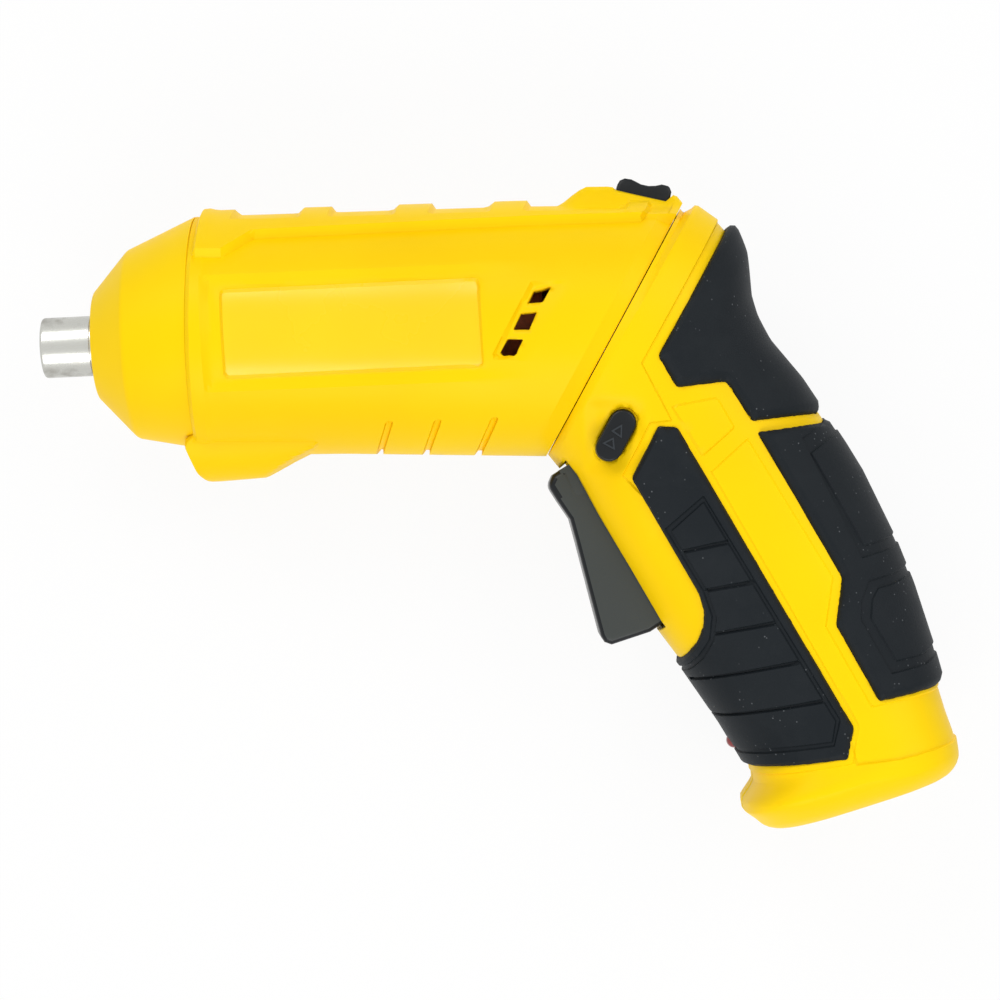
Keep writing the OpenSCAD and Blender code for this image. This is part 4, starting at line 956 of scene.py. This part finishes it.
def screw_ring(a, b, r=2.8):
    ring = np.array([(a + r * math.cos(t), b + r * math.sin(t)) for t in np.linspace(0, 2 * math.pi, 25)])
    return handle_flat(ring)


def handle_half(sheet, side):
    wells = [screw_ring(*p) for p in HANDLE_SCREWS] if side < 0 else []
    for ring in wells:
        sheet.score(ring)

    def gone(c):
        out = within(c, button_hole[:-1]) | within(c, opening) | within(c, jack_hole[:-1])
        for ring in wells:
            out |= within(c, ring[:-1])
        return out

    sheet.tidy()
    sheet.drop(gone)
    flat = sheet.points()
    sheet.place(handle_world(*handle_side(flat[:, 0], flat[:, 1] / TURN, handle_lift(flat))))
    name = "left" if side > 0 else "right"
    finished("handle_%s_casing" % name, sheet.bm, "handle", yellow_plastic,
             ["handle_%s_shell" % name], wall=1.6, mirror=side < 0, angle=28)


left_sheet = handle_sheet()
right_sheet = left_sheet.copy()
handle_half(left_sheet, 1)
handle_half(right_sheet, -1)


# Soft grips: a rounded edge, a bevelled border and the pattern sunk in each pad
def pad_lift(flat, area, frames=(), ribs=()):
    d = depth_in(flat, area)
    edge = np.clip(d / 0.4, 0, 1)
    lift = -0.6 + 0.95 * np.sqrt(1 - (1 - edge) ** 2) + 0.55 * ease(d, 0.4, 1.2)
    for outer, inner in frames:
        lift = lift - 0.4 * ease(depth_in(flat, outer), -0.05, 0.2)
        lift = lift + 0.4 * ease(depth_in(flat, inner), -0.15, 0.1)
    for rib in ribs:
        lift = lift - 0.6 * (1 - ease(gap_to(flat, rib), 0.18, 0.5))
    return lift


def pad(name, area, frames=(), ribs=(), holes=(), round_hole=None, swell=None):
    u0, u1 = area[:, 0].min() - 0.5, area[:, 0].max() + 0.5
    v0, v1 = max(0, area[:, 1].min()), min(math.pi * TURN, area[:, 1].max())
    sheet = Sheet(u0, u1, v0, v1, 0.9)

    def inward(path):
        probe = shifted(simplified(path), 0.05)
        return 1 if (depth_in(probe, path) > 0).mean() > 0.5 else -1

    way = inward(area)
    sheet.score(area, (0, 0.4 * way, 1.2 * way))
    for outer, inner in frames:
        sheet.score(outer, (-0.05 * inward(outer), 0.2 * inward(outer)))
        sheet.score(inner, (-0.15 * inward(inner), 0.1 * inward(inner)))
    for rib in ribs:
        sheet.score(rib, (-0.5, -0.18, 0.18, 0.5))
    twin = sheet.copy()
    for side, half in ((1, sheet), (-1, twin)):
        rings = [screw_ring(*p) for p in holes] if side < 0 else []
        if round_hole is not None:
            rings.append(round_hole)
        for ring in rings:
            half.score(ring)

        def gone(c):
            out = ~within(c, area[:-1])
            for ring in rings:
                out |= within(c, ring[:-1])
            return out

        half.tidy(0.2)
        half.drop(gone)
        flat = half.points()
        lift = pad_lift(flat, area, frames, ribs)
        if swell:
            off = (flat[:, 0] - swell[0]) / swell[1]
            lift = lift + swell[2] * np.exp(-off ** 2) * (1 - smooth(flat[:, 1], 4, 30))
        half.place(handle_world(*handle_side(flat[:, 0], flat[:, 1] / TURN, lift)))
        word = "left" if side > 0 else "right"
        finished("%s_pad_%s" % (name, word), half.bm, "handle", soft_grip,
                 ["%s_grip_%s" % (name, word)], wall=0.9, mirror=side < 0, angle=35)


light_at = handle_flat(np.array([[86.6, -22.6]]), z=0.0)[0]
light_hole = np.array([(light_at[0] + 2.2 * math.cos(t), math.pi * TURN + 2.2 * math.sin(t))
                       for t in np.linspace(0, 2 * math.pi, 25)])
crown = handle_flat(np.array([[-4.5, 31]]))[0, 0]
pad("thumb", thumb_area, holes=[(11, 20), (34, 19.5)], swell=(crown + 3.5, 6.5, 1.2))
pad("palm", palm_area, frames=[palm_upper, palm_lower], holes=[(66, 19.5), (96, 15.6)])
pad("finger", finger_area, frames=[finger_frame], ribs=finger_ribs, holes=[(58, -11)], round_hole=light_hole)


# Turned and cut pieces
def turned(profile, steps=120):
    """Spins a profile of distances along the spindle and radii round it."""
    bm = bmesh.new()
    verts = [bm.verts.new((x, r, 0)) for x, r in profile]
    edges = [bm.edges.new(pair) for pair in zip(verts[:-1], verts[1:])]
    bmesh.ops.spin(bm, geom=verts + edges, cent=(0, 0, 0), axis=(1, 0, 0), angle=2 * math.pi, steps=steps,
                   use_merge=True)
    bmesh.ops.remove_doubles(bm, verts=bm.verts[:], dist=1e-4)
    bmesh.ops.recalc_face_normals(bm, faces=bm.faces[:])
    return bm


def block(outline, low, high, radius, segments=3, into=None):
    """Raises an outline between two heights and rounds its edges."""
    bm = bmesh.new()
    base = bm.faces.new([bm.verts.new((x, y, low)) for x, y in outline])
    grown = bmesh.ops.extrude_face_region(bm, geom=[base])["geom"]
    for v in grown:
        if isinstance(v, bmesh.types.BMVert):
            v.co.z = high
    bmesh.ops.recalc_face_normals(bm, faces=bm.faces[:])
    sharp = [e for e in bm.edges if e.calc_face_angle(0) > math.radians(50)]
    bmesh.ops.bevel(bm, geom=sharp, offset=radius, segments=segments, profile=0.5, affect="EDGES", material=-1)
    if into is not None:
        mesh = bpy.data.meshes.new("block")
        bm.to_mesh(mesh)
        bm.free()
        into.from_mesh(mesh)
        bpy.data.meshes.remove(mesh)
        return into
    return bm


def carried(bm, origin, angle):
    """Turns a drawing made in a tilted frame into its place."""
    c, s = math.cos(angle), math.sin(angle)
    for v in bm.verts:
        x, y = v.co.x, v.co.y
        v.co.x, v.co.y = origin[0] + c * x + s * y, origin[1] - s * x + c * y
    return bm


nose_line = [(13.7, 6.9), (11.3, 6.9)] + list(map(tuple, rounded(
    [(11.3, 9), (11.3, 11.25), (12.0, 12.0), (18.9, 19.7), (32.05, 24.2), (32.05, 19.3)],
    [0, 0.7, 0.7, 0.7, 0.25, 0], 5, closed=False))) + [
    (34.4, 19.3), (34.4, 18.5), (27, 18.5), (20.3, 16.5), (13.7, 11.7), (13.7, 6.9)]
nose = turned(nose_line, 144)
for v in nose.verts:
    share = float(smooth(v.co.x, 18.9, 32.1) * smooth(math.hypot(v.co.y, v.co.z), 19.35, 21.5))
    v.co.x += (0.42 + math.tan(DROOP) * v.co.y) * share
    v.co.y += 1.7 * share
finished("nose_casing", nose, "barrel", yellow_plastic, ["nose_cone"], angle=25)

tube_line = [(18.2, 0), (18.2, 3.0), (15, 3.0), (15, 3.3), (0.75, 3.3), (0.05, 4.3)] + list(map(tuple, rounded(
    [(0, 4.4), (0, 6.3), (10.2, 6.3)], [0, 0.75, 0], 6, closed=False))) + [
    (10.2, 5.8), (26.3, 5.8), (26.3, 5.2), (27.3, 5.2), (27.3, 5.8), (28.4, 5.8), (28.4, 4.0), (32.6, 4.0),
    (32.6, 0)]
tube = turned(tube_line, 96)
for v in tube.verts:
    if 0.5 < v.co.x < 15.1 and 3.2 < math.hypot(v.co.y, v.co.z) < 3.4:
        phi = math.atan2(v.co.y, v.co.z)
        r = 3.2 / math.cos(phi % math.radians(60) - math.radians(30))
        v.co.y, v.co.z = r * math.sin(phi), r * math.cos(phi)
finished("bit_tube", tube, "spindle", chrome, ["bit_holder"], angle=28)

# Latch button: a saddle between two humps, with its arm and tooth
cap = [(0, -3), (0, 1.2), (0.3, 2.1), (1.2, 2.75), (2.6, 2.85), (3.6, 2.6), (4.8, 2.25), (6.4, 2.25), (7.8, 2.6),
       (9, 3.15), (10.6, 3.1), (11.3, 2), (11.3, 0), (10.4, -3)]
latch = carried(block(cap, -5.6, 5.6, 0.5), (JOINT[0] + 1.5, JOINT[1] + 28.75), math.radians(15))
for v in latch.verts:
    v.co.z *= 1 - 0.05 * float(smooth(v.co.y, 26.5, 29))
arm = carried(block([(-6, 16.6), (1.2, 16.6), (1.2, 19.1), (-3.3, 19.1), (-3.3, 25.6), (-6, 27)], -2.8, 2.8, 0.2),
              JOINT, TILT)
mesh = bpy.data.meshes.new("arm")
arm.to_mesh(mesh)
latch.from_mesh(mesh)
bpy.data.meshes.remove(mesh)
finished("latch_cap", latch, "latch", black_button, ["latch_button"], angle=35)

# Trigger, with its pivot lug; its side walls and rounded edges are coloured near-black as a painted dark
# reflection
trigger_line = [(19.3, -23.4), (19.4, -26.8), (20.8, -28.8), (24.5, -28.7), (29.2, -28.4), (33.6, -29.6),
                (44, -32.6), (53.1, -35.2), (54.6, -35.2), (55.8, -34.2), (57.6, -26), (57.2, -18.6),
                (26, -18.6), (25, -24)]
lever = block(trigger_line, -9, 9, 1.3, 4)
# Faces that do not face the sides take the near-black button finish: a painted dark reflection along the trigger's
# border
for f in lever.faces:
    f.material_index = int(abs(f.normal.z) < 0.98)
block([(19.3, -25.2), (26.4, -26.2), (26.4, -20.2), (19.3, -20.2)], -8.9, 8.9, 0.2, 2, into=lever)
lug = bmesh.new()
ring = [lug.verts.new((22 + r, -20.2, z)) for r, z in ((1.25, -9), (2.5, -9), (2.5, 9), (1.25, 9))]
sides = [lug.edges.new((ring[i], ring[(i + 1) % 4])) for i in range(4)]
bmesh.ops.spin(lug, geom=ring + sides, cent=(22, -20.2, 0), axis=(0, 0, 1), angle=2 * math.pi, steps=32,
               use_merge=True)
bmesh.ops.recalc_face_normals(lug, faces=lug.faces[:])
mesh = bpy.data.meshes.new("lug")
lug.to_mesh(mesh)
lever.from_mesh(mesh)
bpy.data.meshes.remove(mesh)
piece = finished("trigger_lever", carried(lever, JOINT, 2 * TILT), "trigger", dark_plastic,
                 ["trigger"], angle=35)
# Near-black on the trigger's walls and rounded edges: a painted dark reflection
piece.data.materials.append(black_button)

# Sleeve round the direction button, down to the switch
for side, word in ((1, "left"), (-1, "right")):
    sleeve = bmesh.new()
    flat = handle_flat(button_path(2.85, 5.7))
    top = handle_side(flat[:, 0], flat[:, 1] / TURN, handle_lift(flat) - 0.5)[2]
    low = [sleeve.verts.new((x, y, 11)) for x, y in button_path(2.85, 5.7)]
    lines = [sleeve.edges.new((low[i], low[(i + 1) % len(low)])) for i in range(len(low))]
    grown = bmesh.ops.extrude_edge_only(sleeve, edges=lines)["geom"]
    for v in grown:
        if isinstance(v, bmesh.types.BMVert):
            near = int(np.argmin(np.hypot(*(button_path(2.85, 5.7) - np.array(v.co[:2])).T)))
            v.co.z = top[near]
    bmesh.ops.recalc_face_normals(sleeve, faces=sleeve.faces[:])
    sleeve.normal_update()
    some = next(iter(sleeve.faces))
    to_axis = Vector((19.1, -12.1, 0)) - some.calc_center_median()
    if some.normal.x * to_axis.x + some.normal.y * to_axis.y < 0:
        bmesh.ops.reverse_faces(sleeve, faces=sleeve.faces[:])
    finished("button_sleeve_%s" % word, carried(sleeve, JOINT, 2 * TILT), "handle", yellow_plastic,
             wall=0.4, mirror=side < 0, angle=40)

# Direction button, with two plain outline triangles on each end, coloured lighter grey as a painted highlight on
# their raised edges
push = block(button_path(2.7, 5.55), -21.8, 21.8, 0.45)
for corners in ([(17.8, -12.5), (17.8, -9.9), (20.2, -11.4)], [(19.0, -15.3), (19.2, -12.7), (21.5, -13.8)]):
    corners = np.array(corners)
    middle = corners.mean(axis=0)
    for low, high in ((21.7, 22.0), (-22.0, -21.7)):
        mark = bmesh.new()
        loops = [[mark.verts.new((*(middle + (p - middle) * k), low)) for p in corners] for k in (1.0, 0.6)]
        faces = [mark.faces.new((loops[0][i], loops[0][(i + 1) % 3], loops[1][(i + 1) % 3], loops[1][i]))
                 for i in range(3)]
        grown = bmesh.ops.extrude_face_region(mark, geom=faces)["geom"]
        for v in grown:
            if isinstance(v, bmesh.types.BMVert):
                v.co.z = high
        bmesh.ops.recalc_face_normals(mark, faces=mark.faces[:])
        for f in mark.faces:
            f.material_index = 1
        mesh = bpy.data.meshes.new("mark")
        mark.to_mesh(mesh)
        push.from_mesh(mesh)
        bpy.data.meshes.remove(mesh)
piece = finished("push_button", carried(push, JOINT, 2 * TILT), "direction", black_button,
                 ["direction_button"], angle=35)
# The marks' lighter grey is a painted highlight on their raised edges
piece.data.materials.append(mark_painted_highlight)


# Wells down to the screws in the right half
def well(name, body, centre, seat, top):
    angles = np.linspace(0, 2 * math.pi, 32, endpoint=False)
    bm = bmesh.new()
    bmesh.ops.create_circle(bm, segments=32, radius=2.8)
    for v in bm.verts:
        v.co = (centre[0] + v.co.x, centre[1] + v.co.y, -seat)
    grown = bmesh.ops.extrude_edge_only(bm, edges=bm.edges[:])["geom"]
    rim = [v for v in grown if isinstance(v, bmesh.types.BMVert)]
    heights = top(np.array([v.co[:2] for v in rim]))
    for v, h in zip(rim, heights):
        v.co.z = -(h - 0.7)
    bmesh.ops.recalc_face_normals(bm, faces=bm.faces[:])
    bm.normal_update()
    f = next(iter(bm.faces))
    to_axis = Vector((centre[0], centre[1], 0)) - f.calc_center_median()
    if f.normal.x * to_axis.x + f.normal.y * to_axis.y < 0:
        bmesh.ops.reverse_faces(bm, faces=bm.faces[:])
    finished(name, bm, body, yellow_plastic, wall=0.5, angle=40)


def barrel_top(ring):
    flat = barrel_flat(ring, r=25.6)
    return barrel_points(flat)[:, 2]


def handle_top(ring):
    d = ring - JOINT
    a = d[:, 0] * COS62 - d[:, 1] * SIN62
    b = d[:, 0] * SIN62 + d[:, 1] * COS62
    flat = handle_flat(np.stack([a, b], axis=1))
    return handle_side(flat[:, 0], flat[:, 1] / TURN, np.zeros(len(a)))[2]


for i, (x, y) in enumerate(BARREL_SCREWS[:3]):
    well("barrel_well_%d" % i, "barrel", (x, y), 8.0, barrel_top)
for i, (a, b) in enumerate(HANDLE_SCREWS):
    at = handle_world(np.array([a]), np.array([b]), np.array([0.0]))[0]
    well("handle_well_%d" % i, "handle", (float(at[0]), float(at[1])), 8.0, handle_top)


# Every CAD piece that shows gets its finish
finishes = {
    "yellow_plastic": yellow_plastic,
    "soft_grip": soft_grip,
    "dark_plastic": dark_plastic,
    "black_button": black_button,
    "chrome": chrome,
    "clear_lens": plain("clear_lens", colour(226, 234, 240), colour(205, 215, 224), 0.08, 500,
                        Transmission_Weight=0.6, IOR=1.49),
    "nylon": moulded("nylon", colour(58, 60, 63), colour(44, 46, 48), 0.45, 0.2),
    "bronze": metal("bronze", colour(176, 152, 98), colour(112, 92, 56), 0.35, (300, 300, 300)),
    "motor_steel": metal("motor_steel", colour(172, 174, 178), colour(120, 120, 122), 0.3, (200, 1400, 1400)),
    "steel": metal("steel", colour(190, 192, 196), colour(130, 130, 132), 0.25, (900, 900, 200)),
    "copper": metal("copper", colour(190, 118, 70), colour(120, 66, 40), 0.3, (900, 900, 900)),
    "dark_ceramic": plain("dark_ceramic", colour(72, 72, 74), colour(50, 50, 52), 0.5),
    "cell_wrap": plain("cell_wrap", colour(60, 118, 178), colour(44, 96, 152), 0.25),
    "board": plain("board", colour(30, 106, 68), colour(22, 82, 52), 0.35, 900),
    "sleeve_paper": plain("sleeve_paper", colour(232, 128, 84), colour(170, 84, 52), 0.6, 700),
    "red_light": plain("red_light", colour(140, 20, 20), colour(104, 12, 14), 0.12, 600, Coat_Weight=0.5),
    "lead_sheath": plain("lead_sheath", colour(188, 32, 28), colour(150, 22, 20), 0.4, 400),
    "white_plastic": plain("white_plastic", colour(222, 221, 216), colour(204, 202, 196), 0.4),
}
for part in frame["record"]["subparts"]:
    shape = frame["nodes"][part["node"]].data
    shape.materials.clear()
    shape.materials.append(finishes[part["material_slot"]])


# Floor, light and background
def stage():
    bm = bmesh.new()
    bmesh.ops.create_grid(bm, x_segments=1, y_segments=1, size=2)
    mesh = bpy.data.meshes.new("floor")
    bm.to_mesh(mesh)
    bm.free()
    for v in mesh.vertices:
        v.co.z = -0.0262
    floor = bpy.data.objects.new("floor", mesh)
    bpy.context.scene.collection.objects.link(floor)
    m = Finish("floor", Roughness=0.95, Specular_IOR_Level=0.0)
    m.set(Base_Color=(0.85, 0.85, 0.85, 1))
    mesh.materials.append(m.material)
    ray = m.node("ShaderNodeLightPath")
    seen = Value(m, ray.outputs["Is Camera Ray"]) + Value(m, ray.outputs["Is Glossy Ray"])
    seen = (seen + Value(m, ray.outputs["Is Transmission Ray"])).held()
    white = m.node("ShaderNodeEmission", {}, {"Color": (1, 1, 1, 1), "Strength": 1.0})
    blend = m.node("ShaderNodeMixShader", {}, {0: seen * 0.92, 1: m.shader.outputs[0], 2: white.outputs[0]})
    m.tree.links.new(blend.outputs[0], m.tree.nodes["Material Output"].inputs[0])
    return floor


stage()


def area_light(name, at, aim, size, power, tone=(1, 1, 1)):
    data = bpy.data.lights.new(name, "AREA")
    data.shape = "RECTANGLE"
    data.size, data.size_y = size
    data.energy = power
    data.color = tone
    light = bpy.data.objects.new(name, data)
    light.location = at
    light.rotation_euler = (Vector(aim) - Vector(at)).to_track_quat("-Z", "Y").to_euler()
    bpy.context.scene.collection.objects.link(light)


area_light("top_left", (-0.3, 0.8, 0.85), (0.1, -0.03, 0), (0.8, 0.45), 5.5)
area_light("top_right", (0.75, 0.35, 0.8), (0.1, -0.03, 0), (0.6, 0.6), 3.2)
area_light("low_fill", (0.0, -0.8, 0.7), (0.1, -0.03, 0), (1.0, 0.5), 6.2)

world = bpy.data.worlds.new("studio")
bpy.context.scene.world = world
world.use_nodes = True
nodes, links = world.node_tree.nodes, world.node_tree.links
soft = nodes["Background"]
soft.inputs["Color"].default_value = (1, 1, 1, 1)
soft.inputs["Strength"].default_value = 0.42
plain_white = nodes.new("ShaderNodeBackground")
plain_white.inputs["Color"].default_value = (1, 1, 1, 1)
ray = nodes.new("ShaderNodeLightPath")
choice = nodes.new("ShaderNodeMixShader")
seen = nodes.new("ShaderNodeMath")
seen.operation = "MAXIMUM"
links.new(ray.outputs["Is Camera Ray"], seen.inputs[0])
links.new(ray.outputs["Is Glossy Ray"], seen.inputs[1])
through = nodes.new("ShaderNodeMath")
through.operation = "MAXIMUM"
links.new(seen.outputs[0], through.inputs[0])
links.new(ray.outputs["Is Transmission Ray"], through.inputs[1])
links.new(through.outputs[0], choice.inputs[0])
links.new(soft.outputs[0], choice.inputs[1])
links.new(plain_white.outputs[0], choice.inputs[2])
links.new(choice.outputs[0], nodes["World Output"].inputs[0])

view = bpy.context.scene.view_settings
view.view_transform = "Standard"
